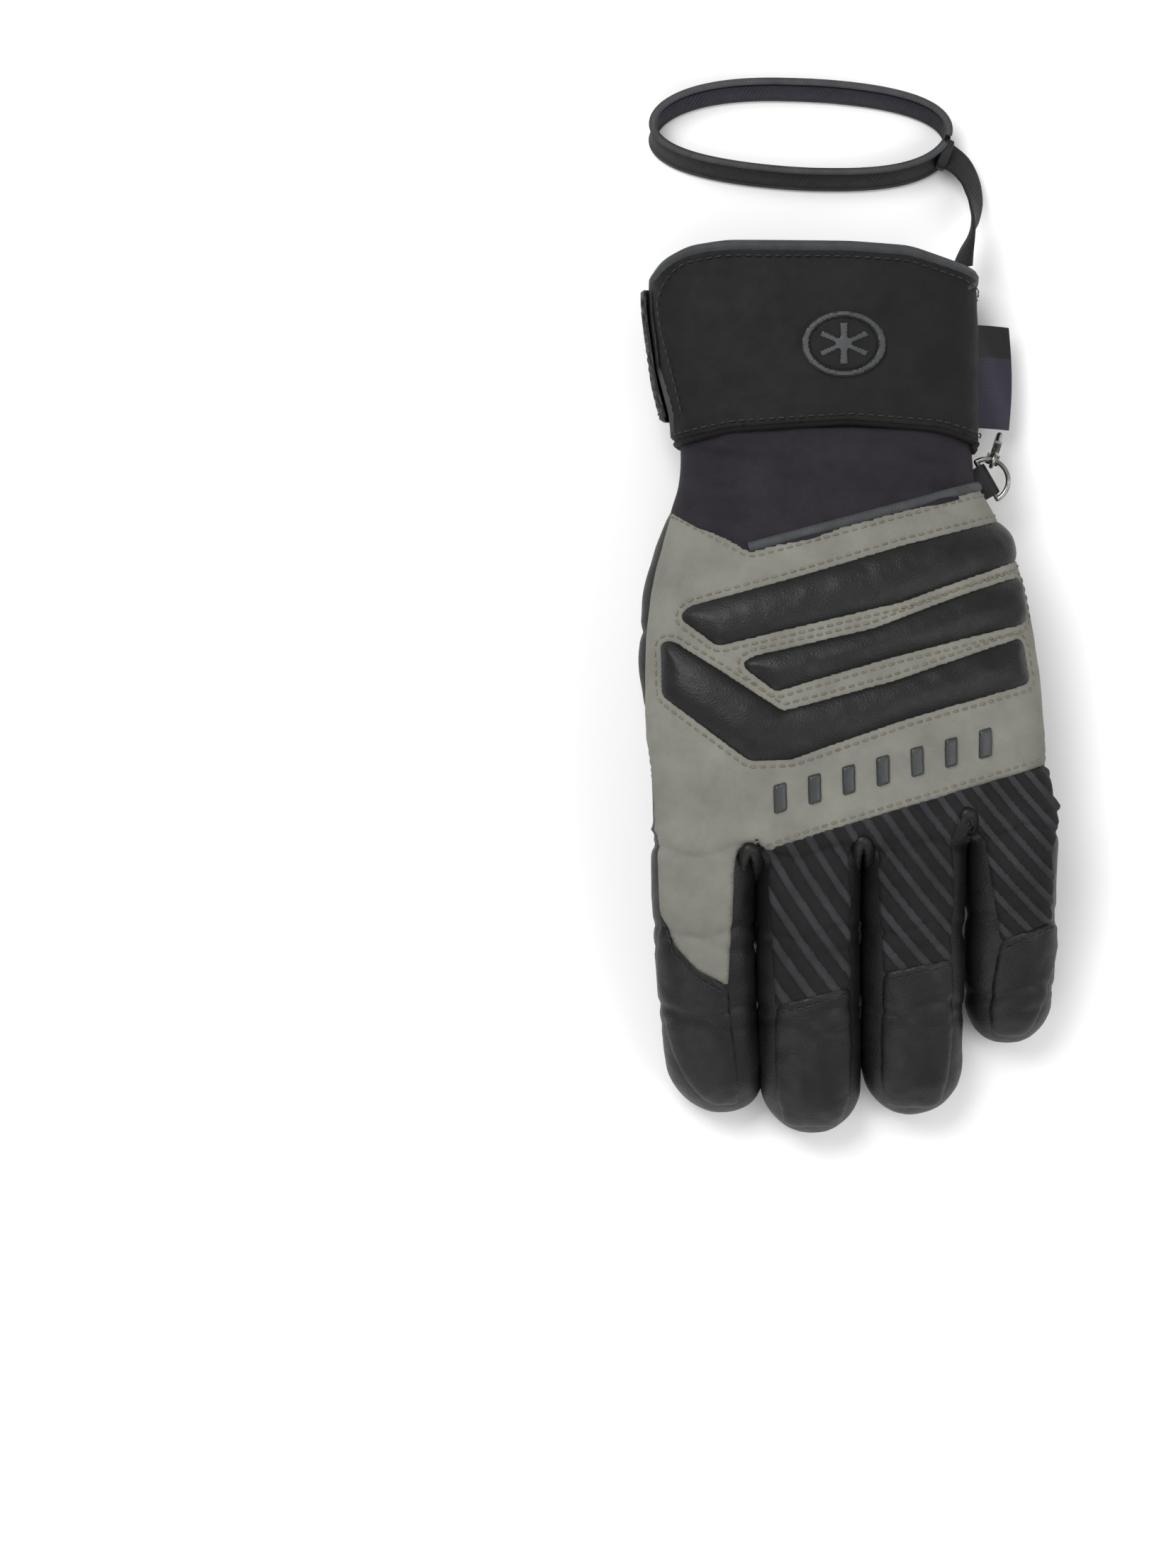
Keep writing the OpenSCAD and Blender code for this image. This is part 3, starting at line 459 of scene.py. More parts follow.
def panel(name, wrap, outline, material, holes=(), step=1.0, lift=0.8, depth=1.4, edge=1.0, height=None,
          drop=0.65, split=None):
    """A panel of cloth or leather over an outline in the wrap's flat plane, closed underneath.

    lift is how far its top stands out of the form, depth its thickness, edge the width of its rolled edge,
    drop how far the edge rolls down, and height(flat, places, edge distance) what is added to its top. With
    split it comes as one object for each body: split(middles) gives each face's."""
    loops = [np.asarray(outline, float)] + [np.asarray(h, float) for h in holes]
    low, high = loops[0].min(axis=0), loops[0].max(axis=0)
    rows = np.arange(low[1], high[1], step * 0.87)
    columns = [np.arange(low[0] + (i % 2) * step / 2, high[0], step) for i in range(len(rows))]
    grid = np.concatenate([np.stack([x, np.full(len(x), y)], axis=1) for x, y in zip(columns, rows)])
    border = edges_of(loops)
    keep = inside(grid, loops[0])
    for hole in loops[1:]:
        keep &= ~inside(grid, hole)
    grid = grid[keep]
    grid = grid[distance_to(grid, border) > 0.55 * step]
    flat = np.concatenate(loops + [grid])
    wires, start = [], 0
    for loop in loops:
        n = len(loop)
        wires += [(start + i, start + (i + 1) % n) for i in range(n)]
        start += n
    out = delaunay_2d_cdt([Vector(p) for p in flat], wires, [], 0, 1e-6)
    flat = np.array([tuple(v) for v in out[0]])
    triangles = np.array([tuple(f) for f in out[2]])
    middles = flat[triangles].mean(axis=1)
    keep = inside(middles, loops[0])
    for hole in loops[1:]:
        keep &= ~inside(middles, hole)
    triangles = triangles[keep]
    used = np.unique(triangles)
    renumber = np.full(len(flat), -1)
    renumber[used] = np.arange(len(used))
    flat, triangles = flat[used], renumber[triangles]

    places, normals = wrap.lay(flat)
    rolled = distance_to(flat, border)
    t = np.clip(rolled / edge, 0, 1)
    rise = lift * (1 - drop + drop * np.sqrt(1 - (1 - t) ** 2))
    if height is not None:
        rise = rise + height(flat, places, rolled)
    top = places + normals * rise[:, None]
    under = places + normals * (lift - depth)
    a, b, c = (top[triangles[:, k]] for k in range(3))
    if (np.cross(b - a, c - a) * normals[triangles[:, 0]]).sum() < 0:
        triangles = triangles[:, ::-1]
    n = len(flat)
    sides = {}
    for tri in triangles:
        for k in range(3):
            sides[(tri[k], tri[(k + 1) % 3])] = True
    rim = [(i, j) for i, j in sides if (j, i) not in sides]
    faces = [tuple(t) for t in triangles] + [tuple(t[::-1] + n) for t in triangles]
    faces += [(j, i, i + n, j + n) for i, j in rim]
    points = np.concatenate([top, under])
    if split is None:
        return mesh_object(name, points, faces, material)
    normals = vertex_normals(top, triangles)
    normals = np.concatenate([normals, -normals])
    part = split(np.array([points[list(f)].mean(axis=0) for f in faces]))
    return {k: part_of(name % k, points, [f for f, q in zip(faces, part) if q == k], normals, material, 50)
            for k in sorted(set(part))}


def part_of(name, points, faces, normals, material, sharp=0):
    """Some faces of a larger mesh as an object, which keeps the whole's normals where it was cut off."""
    used = np.unique(np.concatenate([np.asarray(f) for f in faces]))
    renumber = np.full(len(points), -1)
    renumber[used] = np.arange(len(used))
    faces = [tuple(renumber[list(f)]) for f in faces]
    obj = mesh_object(name, points[used], faces, material, sharp)
    kept = normals[used].copy()
    if sharp:
        sides = {}
        for f in faces:
            for k in range(len(f)):
                pair = (min(f[k - 1], f[k]), max(f[k - 1], f[k]))
                sides[pair] = sides.get(pair, 0) + 1
        border = {i for pair, count in sides.items() if count == 1 for i in pair}
        kept[[i for i in range(len(kept)) if i not in border]] = 0
    obj.data.normals_split_custom_set_from_vertices(kept.tolist())
    return obj


def along(wrap, line, lift, step=0.5, closed=False):
    """Places, normals and directions of a flat line laid on a form and lifted off it."""
    flat = resampled(line, step, closed)
    places, normals = wrap.lay(flat)
    places = places + normals * lift
    if closed:
        tangents = np.roll(places, -1, axis=0) - np.roll(places, 1, axis=0)
    else:
        tangents = np.gradient(places, axis=0)
    return places, normals, unit(tangents)


def tube_mesh(places, normals, tangents, wide, tall, closed=False, sides=8):
    """A tube of oval section along a line: wide across, tall along the normal."""
    across = unit(np.cross(tangents, normals))
    up = np.cross(across, tangents)
    rings = []
    for i in range(len(places)):
        a = np.arange(sides) * TAU / sides
        w = wide[i] if np.ndim(wide) else wide
        h = tall[i] if np.ndim(tall) else tall
        rings.append(places[i] + np.cos(a)[:, None] * across[i] * w + np.sin(a)[:, None] * up[i] * h)
    if not closed:
        return loft(rings)
    points, faces = loft(rings, close_ends=False)
    last = (len(rings) - 1) * sides
    faces += [(last + j, j, (j + 1) % sides, last + (j + 1) % sides) for j in range(sides)]
    return points, faces


def piping(name, wrap, line, wide, tall, lift, material, closed=False):
    return mesh_object(name, *tube_mesh(*along(wrap, line, lift, 1.0, closed), wide, tall, closed),
                       material)


def stitch_beads(places, normals, tangents, length=2.1, gap=0.9, radius=0.3):
    """Separate stitches along a line: each a bead that dips into the cloth at its ends."""
    lengths = np.concatenate([[0], np.cumsum(np.linalg.norm(np.diff(places, axis=0), axis=1))])
    count = int(lengths[-1] / (length + gap))
    if count < 1:
        return None
    parts = []
    pitch = lengths[-1] / count
    shape = [(-0.5, 0.35, -0.5), (-0.36, 0.9, 0.1), (0.0, 1.0, 0.35), (0.36, 0.9, 0.1), (0.5, 0.35, -0.5)]
    for k in range(count):
        at = (k + 0.5) * pitch
        rings = []
        for t, size, rise in shape:
            s = at + t * length
            p, n, d = (np.array([np.interp(s, lengths, v[:, c]) for c in range(3)])
                       for v in (places, normals, tangents))
            across = np.cross(d, n)
            across /= max(np.linalg.norm(across), 1e-9)
            a = np.arange(6) * TAU / 6
            rings.append(p + n * rise * radius + radius * size
                         * (np.cos(a)[:, None] * across + np.sin(a)[:, None] * 0.8 * n))
        parts.append(loft(rings))
    return joined(parts)


SEWING = {}


def sew(body, thread, wrap, line, lift, closed=False, **kind):
    """Adds a line of stitches of a thread to what is sewn on a body."""
    beads = stitch_beads(*along(wrap, line, lift, 0.5, closed), **kind)
    if beads:
        SEWING.setdefault((body, thread), []).append(beads)


# ---------------------------------------------------------------- materials

class Nodes:
    """Short calls for a material's nodes."""

    def __init__(self, name, color, roughness, **principled):
        self.material = bpy.data.materials.new(name)
        self.material.use_nodes = True
        self.tree = self.material.node_tree
        self.surface = self.tree.nodes["Principled BSDF"]
        self.surface.inputs["Base Color"].default_value = (*color, 1)
        self.surface.inputs["Roughness"].default_value = roughness
        for key, value in principled.items():
            self.surface.inputs[key.replace("_", " ")].default_value = value
        self.place = self.tree.nodes.new("ShaderNodeTexCoord").outputs["Object"]
        self.bumps = None

    def add(self, kind, **settings):
        node = self.tree.nodes.new(kind)
        for key, value in settings.items():
            if key in node.inputs:
                node.inputs[key].default_value = value
            else:
                setattr(node, key, value)
        return node

    def link(self, a, b):
        self.tree.links.new(a, b)
        return self

    def stretched(self, x, y, z, turn=0.0):
        mapping = self.add("ShaderNodeMapping")
        mapping.inputs["Scale"].default_value = (x, y, z)
        mapping.inputs["Rotation"].default_value = (0, 0, turn)
        self.link(self.place, mapping.inputs["Vector"])
        return mapping.outputs["Vector"]

    def noise(self, scale, detail=4.0, rough=0.55, at=None):
        node = self.add("ShaderNodeTexNoise", Scale=scale, Detail=detail, Roughness=rough)
        self.link(at or self.place, node.inputs["Vector"])
        return node.outputs["Fac"]

    def cells(self, scale, feature="DISTANCE_TO_EDGE", at=None):
        node = self.add("ShaderNodeTexVoronoi", feature=feature, Scale=scale)
        self.link(at or self.place, node.inputs["Vector"])
        return node.outputs["Distance"]

    def waves(self, scale, at=None, direction="X", distortion=0.0):
        node = self.add("ShaderNodeTexWave", Scale=scale, Distortion=distortion, bands_direction=direction)
        self.link(at or self.place, node.inputs["Vector"])
        return node.outputs["Fac"]

    def math(self, operation, a, b):
        node = self.add("ShaderNodeMath", operation=operation)
        for socket, value in zip(node.inputs, (a, b)):
            if hasattr(value, "links"):
                self.link(value, socket)
            else:
                socket.default_value = value
        return node.outputs[0]

    def ramp(self, value, low, high, start=0.0, end=1.0):
        node = self.add("ShaderNodeMapRange")
        node.inputs["From Min"].default_value = start
        node.inputs["From Max"].default_value = end
        node.inputs["To Min"].default_value = low
        node.inputs["To Max"].default_value = high
        self.link(value, node.inputs["Value"])
        return node.outputs["Result"]

    def tint(self, value, dark, light):
        """Base colour between two by a value from 0 to 1."""
        node = self.add("ShaderNodeMix", data_type="RGBA")
        node.inputs["A"].default_value = (*dark, 1)
        node.inputs["B"].default_value = (*light, 1)
        self.link(value, node.inputs["Factor"])
        self.link(node.outputs["Result"], self.surface.inputs["Base Color"])
        return self

    def rough(self, value, low, high):
        return self.link(self.ramp(value, low, high), self.surface.inputs["Roughness"])

    def bump(self, value, strength, distance):
        """Adds a bump; distance is in millimetres."""
        node = self.add("ShaderNodeBump", Strength=strength, Distance=distance * MM)
        self.link(value, node.inputs["Height"])
        if self.bumps:
            self.link(self.bumps, node.inputs["Normal"])
        self.bumps = node.outputs["Normal"]
        self.link(self.bumps, self.surface.inputs["Normal"])
        return self


def linear(r, g, b):
    """A colour given as 0 to 255 in sRGB."""
    return tuple((v / 255 / 12.92) if v < 10 else ((v / 255 + 0.055) / 1.055) ** 2.4 for v in (r, g, b))


def leather():
    m = Nodes("goat_leather", linear(24, 24, 24), 0.5, Specular_IOR_Level=0.3)
    pores = m.cells(900)
    folds = m.noise(110, 6, 0.6)
    m.tint(m.ramp(folds, 0, 1, 0.3, 0.75), linear(9, 9, 9), linear(21, 21, 20))
    m.rough(m.noise(260, 3), 0.36, 0.6)
    m.bump(pores, 0.8, 0.16).bump(folds, 0.6, 0.35)
    return m.material


def softshell():
    m = Nodes("softshell", linear(112, 112, 104), 0.85, Specular_IOR_Level=0.3)
    warp = m.waves(520, m.stretched(1, 1, 1, 0.35), "X", 1.2)
    weft = m.waves(520, m.stretched(1, 1, 1, 0.35), "Y", 1.2)
    weave = m.math("MULTIPLY", warp, weft)
    m.tint(m.ramp(m.noise(70, 5, 0.65), 0, 1, 0.3, 0.7), linear(105, 105, 98), linear(121, 121, 113))
    m.rough(m.noise(300, 2), 0.78, 0.92)
    m.bump(weave, 0.35, 0.12).bump(m.noise(900, 2), 0.2, 0.08)
    return m.material


def stretch_cloth(name, dark, light, scale=420):
    m = Nodes(name, light, 0.8, Specular_IOR_Level=0.25)
    knit = m.math("MULTIPLY", m.waves(scale, None, "X", 0.6), m.waves(scale, None, "Y", 0.6))
    m.tint(m.ramp(m.noise(90, 4), 0, 1, 0.3, 0.7), dark, light)
    m.rough(m.noise(400, 2), 0.72, 0.9)
    m.bump(knit, 0.35, 0.1)
    return m.material


def neoprene():
    m = Nodes("neoprene", linear(18, 18, 19), 0.75, Specular_IOR_Level=0.22)
    knit = m.cells(1100, "F1", m.stretched(1, 0.6, 1))
    m.tint(m.ramp(m.noise(60, 5, 0.6), 0, 1, 0.3, 0.7), linear(13, 13, 14), linear(22, 22, 23))
    m.rough(m.noise(200, 3), 0.62, 0.84)
    m.bump(knit, 0.4, 0.10).bump(m.noise(45, 3), 0.35, 0.4)
    return m.material


def tape(name, dark, light):
    m = Nodes(name, light, 0.7)
    ribs = m.waves(420, m.stretched(1, 1, 1, 0.8), "DIAGONAL", 0.3)
    m.tint(m.ramp(m.noise(160, 4), 0, 1, 0.3, 0.7), dark, light)
    m.rough(m.noise(300, 2), 0.6, 0.8)
    m.bump(ribs, 0.5, 0.14)
    return m.material


def webbing(name, dark, light):
    m = Nodes(name, light, 0.65, Specular_IOR_Level=0.3)
    a = m.waves(330, m.stretched(1, 1, 1, 0.6), "X", 0.2)
    b = m.waves(330, m.stretched(1, 1, 1, -0.9), "Y", 0.2)
    m.tint(m.ramp(m.math("MAXIMUM", a, b), 0, 1, 0.3, 1.0), dark, light)
    m.rough(m.noise(300, 2), 0.55, 0.75)
    m.bump(m.math("MAXIMUM", a, b), 0.6, 0.18)
    return m.material


def rubber():
    m = Nodes("moulded_rubber", linear(50, 51, 52), 0.42, Specular_IOR_Level=0.4)
    m.tint(m.ramp(m.noise(120, 4), 0, 1, 0.3, 0.7), linear(42, 43, 44), linear(54, 55, 56))
    m.rough(m.noise(500, 3), 0.34, 0.5)
    m.bump(m.noise(1500, 2), 0.15, 0.05)
    return m.material


def thread(name, dark, light):
    m = Nodes(name, light, 0.6, Specular_IOR_Level=0.3)
    m.tint(m.ramp(m.noise(700, 3), 0, 1, 0.3, 0.7), dark, light)
    m.rough(m.noise(400, 2), 0.5, 0.7)
    m.bump(m.waves(900, m.stretched(1, 1, 1, 0.6), "DIAGONAL", 0.5), 0.5, 0.1)
    return m.material


def gunmetal():
    m = Nodes("gunmetal", linear(150, 148, 144), 0.2, Metallic=1.0)
    m.tint(m.ramp(m.noise(350, 4), 0, 1, 0.3, 0.75), linear(112, 110, 108), linear(168, 165, 160))
    m.rough(m.noise(900, 4), 0.12, 0.3)
    m.bump(m.noise(1600, 3), 0.1, 0.03)
    return m.material


def fleece():
    m = Nodes("lining_fleece", linear(30, 30, 34), 0.95, Sheen_Weight=0.5, Sheen_Roughness=0.6)
    m.tint(m.ramp(m.noise(400, 6, 0.7), 0, 1, 0.25, 0.75), linear(20, 20, 23), linear(48, 47, 52))
    m.rough(m.noise(300, 3), 0.88, 0.98)
    m.bump(m.noise(700, 6, 0.75), 0.8, 0.35)
    return m.material


def hook_tape():
    m = Nodes("hook_tape", linear(24, 24, 24), 0.6)
    hooks = m.cells(1400, "F1")
    m.tint(m.ramp(hooks, 0, 1, 0.0, 0.6), linear(46, 46, 46), linear(14, 14, 14))
    m.rough(m.noise(600, 2), 0.5, 0.75)
    m.bump(hooks, 1.0, 0.3)
    return m.material


def satin(name, dark, light):
    m = Nodes(name, light, 0.4, Specular_IOR_Level=0.3)
    m.tint(m.ramp(m.waves(500, None, "Y", 0.4), 0, 1), dark, light)
    m.rough(m.noise(300, 2), 0.35, 0.55)
    m.bump(m.waves(700, None, "Y", 0.3), 0.3, 0.06)
    return m.material


def floor_finish():
    m = Nodes("studio_floor", (0.93, 0.93, 0.93), 0.9, Specular_IOR_Level=0.0)
    m.tint(m.noise(3, 2), (0.92, 0.92, 0.92), (0.94, 0.94, 0.94))
    return m.material


LEATHER = leather()
GREY = softshell()
RIB = stretch_cloth("stretch_rib", linear(15, 15, 16), linear(24, 24, 25))
# the same rib cloth, lighter: a painted highlight for the crowns of the raised ribs
RIB_PAINTED_HIGHLIGHT = stretch_cloth("stretch_rib_painted_highlight", linear(36, 36, 39), linear(50, 50, 54))
NAVY = stretch_cloth("navy_stretch", linear(23, 20, 27), linear(33, 29, 37), 380)
NEOPRENE = neoprene()
TAPE = tape("binding_tape", linear(38, 40, 42), linear(53, 55, 57))
PIPE = tape("piping_tape", linear(40, 42, 44), linear(56, 58, 60))
WEBBING = webbing("webbing", linear(12, 12, 13), linear(27, 27, 29))
NAVY_BAND = webbing("band_lining", linear(20, 18, 28), linear(34, 31, 46))
RUBBER = rubber()
KHAKI = thread("khaki_thread", linear(96, 90, 77), linear(124, 117, 101))
DARK_THREAD = thread("dark_thread", linear(26, 26, 26), linear(44, 44, 43))
CUT_EDGE = stretch_cloth("cut_edge", linear(160, 160, 153), linear(190, 189, 182), 500)
FLEECE = fleece()
METAL = gunmetal()
HOOKS = hook_tape()
LABEL_TOP = satin("label_black", linear(14, 14, 16), linear(22, 22, 24))
LABEL = satin("label_satin", linear(30, 27, 40), linear(42, 38, 54))
ELASTIC = webbing("elastic", linear(96, 95, 88), linear(140, 139, 130))

# ---------------------------------------------------------------- the padded form

def soft_noise(points, scale, seed=0.0):
    """Smooth noise from -1 to 1 at points in millimetres; scale is its size in millimetres."""
    return np.array([noise.noise(Vector((p[0] / scale + seed, p[1] / scale - seed, p[2] / scale)))
                     for p in points])


def hand_rings():
    angles = np.arange(96) * TAU / 96
    rings = []
    for y in np.concatenate([[-53, -52, -50.5, -48.5, -46], np.arange(-43, 84, 3.0)]):
        t = np.clip((-43 - y) / 10.5, 0, 1)
        k = math.sqrt(1 - t * t)
        mx, hx, mz, hz, lean = hand_frame(y)
        x = mx + (hx - 3 * (1 - k)) * (0.9 + 0.1 * k) * power(np.cos(angles), HAND_POWER)
        z = mz + hz * (0.35 + 0.65 * k) * power(np.sin(angles), HAND_POWER) - lean * x
        root = np.interp(x, [p[0] for p in ROOT], [p[1] for p in ROOT])
        shear = np.where(y < -15, -15 + (y + 15) * (-10 - root) / 38, y)
        ring = np.stack([x, shear, z], axis=1)
        moves = np.array([apart(ring, k) for k in range(4)])
        knuckles = [FINGERS[name][2] for name in NAMES]
        ring[:, 0] += [np.interp(x[i], knuckles, moves[:, i]) for i in range(len(x))]
        rings.append(ring)
    return loft(rings)


def apart(points, finger):
    """How far a finger's x is moved while the form is made, so that touching fingers stay separate."""
    start = -38.0 if finger == 3 else -45.0
    depth = np.maximum(0, start - points[:, 1])
    return (finger - 1.5) * (3.1 * (1 - np.exp(-depth / 2.5)) + 0.03 * depth)


def finger_rings(finger):
    f = FINGERS[NAMES[finger]]
    angles = np.arange(56) * TAU / 56
    length = f[0] - f[1]
    steps = np.concatenate([np.arange(-16, length - 18, 3.0),
                            length - 18 + 18 * np.sin(np.linspace(0, math.pi / 2, 14))[1:-1],
                            [length - 0.02]])
    rings = []
    for s in steps:
        ring = finger_point(f, s, angles)
        if s < 0:
            middle = ring.mean(axis=0)
            ring = middle + (ring - middle) * (1 + s * 0.014)
        ring[:, 0] += apart(ring, finger)
        rings.append(ring)
    return loft(rings)


def gathered(points):
    """The form with its fingers brought back together."""
    moves = [apart(points, k) for k in range(4)]
    borders = [CROTCH[k] + (moves[k] + moves[k + 1]) / 2 for k in range(3)]
    finger = sum((points[:, 0] > b).astype(int) for b in borders)
    out = points.copy()
    out[:, 0] -= np.choose(finger, moves)
    return out


def finger_of(points):
    """Index of the finger whose strip each point is in."""
    return (points[:, 0] > CROTCH[0]).astype(int) + (points[:, 0] > CROTCH[1]) + (points[:, 0] > CROTCH[2])


def hand_or_finger(middles):
    """The body that each face belongs to, by its middle."""
    finger = finger_of(middles)
    return np.where(middles[:, 1] < np.array(CUTS)[finger], np.array(NAMES)[finger], "hand")


def creases(points):
    """How the padded leather swells and puckers."""
    swell = 0.35 * soft_noise(points, 17) + 0.22 * soft_noise(points, 7, 3.1)
    cross = np.zeros(len(points))
    for name, f in FINGERS.items():
        mine = (finger_of(points) == NAMES.index(name)) & (points[:, 1] < f[0] + 6)
        for s, deep in ((2, 0.9), (27, 0.6), (31, 0.45), (52, 0.6), (56, 0.35)):
            at = f[0] - s + 2.0 * np.sin(points[:, 0] * 0.21 + s)
            cross -= mine * deep * np.exp(-((points[:, 1] - at) / 1.5) ** 2)
    return swell + cross


base_points, base_triangles = modified(
    *joined([hand_rings()] + [finger_rings(k) for k in range(4)]),
    ("REMESH", {"mode": "VOXEL", "voxel_size": FORM_VOXEL * MM, "adaptivity": 0.0}),
    ("SMOOTH", {"factor": 0.5, "iterations": 7}),
)
base_points = gathered(base_points)
base_normals = vertex_normals(base_points, base_triangles)
base_points = base_points + base_normals * creases(base_points)[:, None]
BASE = Form(base_points, base_triangles)


def strip(index):
    return lambda m: (finger_of(m) == index) & (m[:, 1] < -12)


STRIPS = [BASE.part(strip(k)) for k in range(4)]


def finger_by_y(f):
    return lambda y, a, off: finger_point(f, f[0] - y, a, off)


class BackWrap(HandWrap):
    """Lays (u, y) on the back of the hand and on down the fingers."""

    def flat_x(self, flat):
        """x seen from above, and how far past the hand's edge."""
        mx, hx, _, _, _ = hand_frame(flat[:, 1])
        past = np.maximum(0, np.abs(flat[:, 0]) - self.side)
        a = np.interp(np.minimum(np.abs(flat[:, 0]), self.side), self.arc, self.angle)
        return mx + np.sign(flat[:, 0]) * hx * power(np.cos(a), HAND_POWER), past

    def lay(self, flat):
        a, y = self.angle_at(flat[:, 0]), flat[:, 1]
        outside, inside = hand_point(y, a, RAY_OUT), hand_point(y, a, RAY_IN_HAND)
        x, past = self.flat_x(flat)
        finger = finger_of(np.stack([x, y], axis=1))
        share = np.zeros(len(flat))
        for k, name in enumerate(NAMES):
            f = FINGERS[name]
            mine = finger == k
            s = f[0] - y[mine]
            length, tip = f[0] - f[1], TIP_LENGTH * f[6]
            u = np.clip((s - length + tip) / tip, 0, 0.97)
            taper = np.where(s < length - tip, 1.0, (1 - u ** TIP_ROUND[0]) ** TIP_ROUND[1])
            mid, _, _, half = finger_mid(f, s)
            half = half * taper
            r = (x[mine] - mid) / half
            angle = np.arccos(np.clip(np.abs(r), 0, 1) ** (1 / FINGER_POWER))
            angle -= (np.maximum(0, np.abs(r) - 1) * half + past[mine]) / FINGER_RADIUS
            angle = np.where(r < 0, math.pi - angle, angle)
            t = np.clip((CUTS[k] - 6 - y[mine]) / 12, 0, 1)
            t = (t * t * (3 - 2 * t))[:, None]
            outside[mine] = (1 - t) * outside[mine] + t * finger_point(f, s, angle, RAY_OUT)
            inside[mine] = (1 - t) * inside[mine] + t * finger_point(f, s, angle, RAY_IN_FINGER)
            share[mine] = t[:, 0]
        towards = unit(inside - outside)
        hits, normals = np.empty_like(outside), np.empty_like(outside)
        for k in range(-1, 4):
            mine = share == 0 if k < 0 else (share > 0) & (finger == k)
            if mine.any():
                form = self.form if k < 0 else STRIPS[k]
                hits[mine], normals[mine] = form.meet(outside[mine], towards[mine],
                                                      outside[mine] + RAY_OUT * towards[mine])
        return hits, normals


BACK = BackWrap(BASE.part(lambda m: m[:, 1] > -62))
PALM = HandWrap(BACK.form, palm=True)
FINGER_WRAPS = {n: TubeWrap(STRIPS[k], finger_by_y(FINGERS[n])) for k, n in enumerate(NAMES)}

# ---------------------------------------------------------------- bodies

BLEND_LENGTH = 18


def attach(obj, body):
    """Puts a piece on the hand or another body; a piece of a finger or the thumb only has its transform
    baked into its mesh.
    """
    if body in NAMES:
        f, start = FINGERS[body], CUTS[NAMES.index(body)]
        start, end = ((f[2] * MM, y * MM, f[4] * MM) for y in (start, start - BLEND_LENGTH))
        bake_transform(obj)
    elif body == "thumb":
        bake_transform(obj)
    else:
        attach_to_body(obj, body)
    return obj


def fit(piece, slot, body, *nodes, fill=None):
    """Hides the CAD nodes that a piece stands for and puts it on its body with attach. slot and fill are not
    used.
    """
    if nodes:
        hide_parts(*nodes)
    attach(piece, body)


def make_base():
    middles = BASE.points[BASE.triangles].mean(axis=1)
    bodies = hand_or_finger(middles)
    for body in ["hand"] + NAMES:
        keep = (bodies == body) & (middles[:, 1] < 81)
        piece = part_of(body + "_form", BASE.points, BASE.triangles[keep], BASE.normals, LEATHER)
        fit(piece, "goat_leather", body, fill=0.75)
        if body == "hand":
            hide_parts("palm_leather", "side_strips", "hand_insulation")
        else:
            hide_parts(body + "_sidewalls", body + "_liner")
            make_core(body)


def make_core(body):
    """A closed wall just inside a finger's leather, seen where its neighbour has moved away from it."""
    f = FINGERS[body]
    length = f[0] - f[1]
    angles = np.arange(48) * TAU / 48
    tip = 15.2 * np.sin(np.linspace(0, math.pi / 2, 10))
    steps = np.concatenate([np.arange(14, length - 16, 3.0), length - 16 + tip])
    core = mesh_object(body + "_core", *loft([finger_point(f, s, angles, -0.9) for s in steps]), LEATHER)
    fit(core, "goat_leather", body)


# ---------------------------------------------------------------- back of the hand

def line_at(line, x):
    return np.interp(x, [p[0] for p in line], [p[1] for p in line])


def back_outline():
    """The grey panel, with the index finger's back in one piece with it."""
    index = [(-58.5, -70), (-54.6, -80.2), (-47.2, -88.4), (-37.6, -93.4), (-36.6, -75), (-35.9, -58),
             (-35.1, -52), (-33.2, -49.6), (-30.8, -48.8), (-28.3, -49.6), (-26.8, -51.9)]
    right = [(x, line_at(BACK_EDGE, x)) for x in (-24, 0, 30, 61)]
    edge = [(60.6, -18), (60.2, -5), (61.2, 4), (63, 14)]
    top = [(x, line_at(WRIST_V, x)) for x in (66, 60, 44.5, 8, -31, -53, -66)]
    left = [(-64.5, 10), (-61.8, -20), (-60.4, -38), (-59.4, -50), (-58.9, -60)]
    return BACK.flat(rounded(index + right + edge + top + left, 1.2, step=1.0))


def settled(flat, places, edge):
    """Slight puckers near a sewn edge."""
    return 0.22 * soft_noise(places, 6, 1.7) * np.exp(-edge / 5) + 0.16 * soft_noise(places, 15, 5.0)


def puffed(rise, reach):
    """A padded crown with a few soft dents."""
    def height(flat, places, edge):
        t = np.clip(edge / reach, 0, 1)
        crown = rise * (1 - (1 - t) ** 2.2) ** 0.7
        dents = 0.28 * soft_noise(places, 9, 8.0) + 0.15 * soft_noise(places, 3.6, 2.0)
        return crown + np.minimum(1, t * 2) * dents
    return height


def shrunk(line, distance):
    """A closed line moved inwards, or outwards if the distance is negative."""
    ahead, behind = np.roll(line, -1, axis=0), np.roll(line, 1, axis=0)
    d = ahead - behind
    d = unit(d)
    turn = np.stack([-d[:, 1], d[:, 0]], axis=1)
    area = (line[:, 0] * ahead[:, 1] - ahead[:, 0] * line[:, 1]).sum()
    return line + turn * distance * (1 if area > 0 else -1)


def index_or_hand(middles):
    return np.where((middles[:, 1] < CUTS[0]) & (middles[:, 0] < CROTCH[0]), "index", "hand")


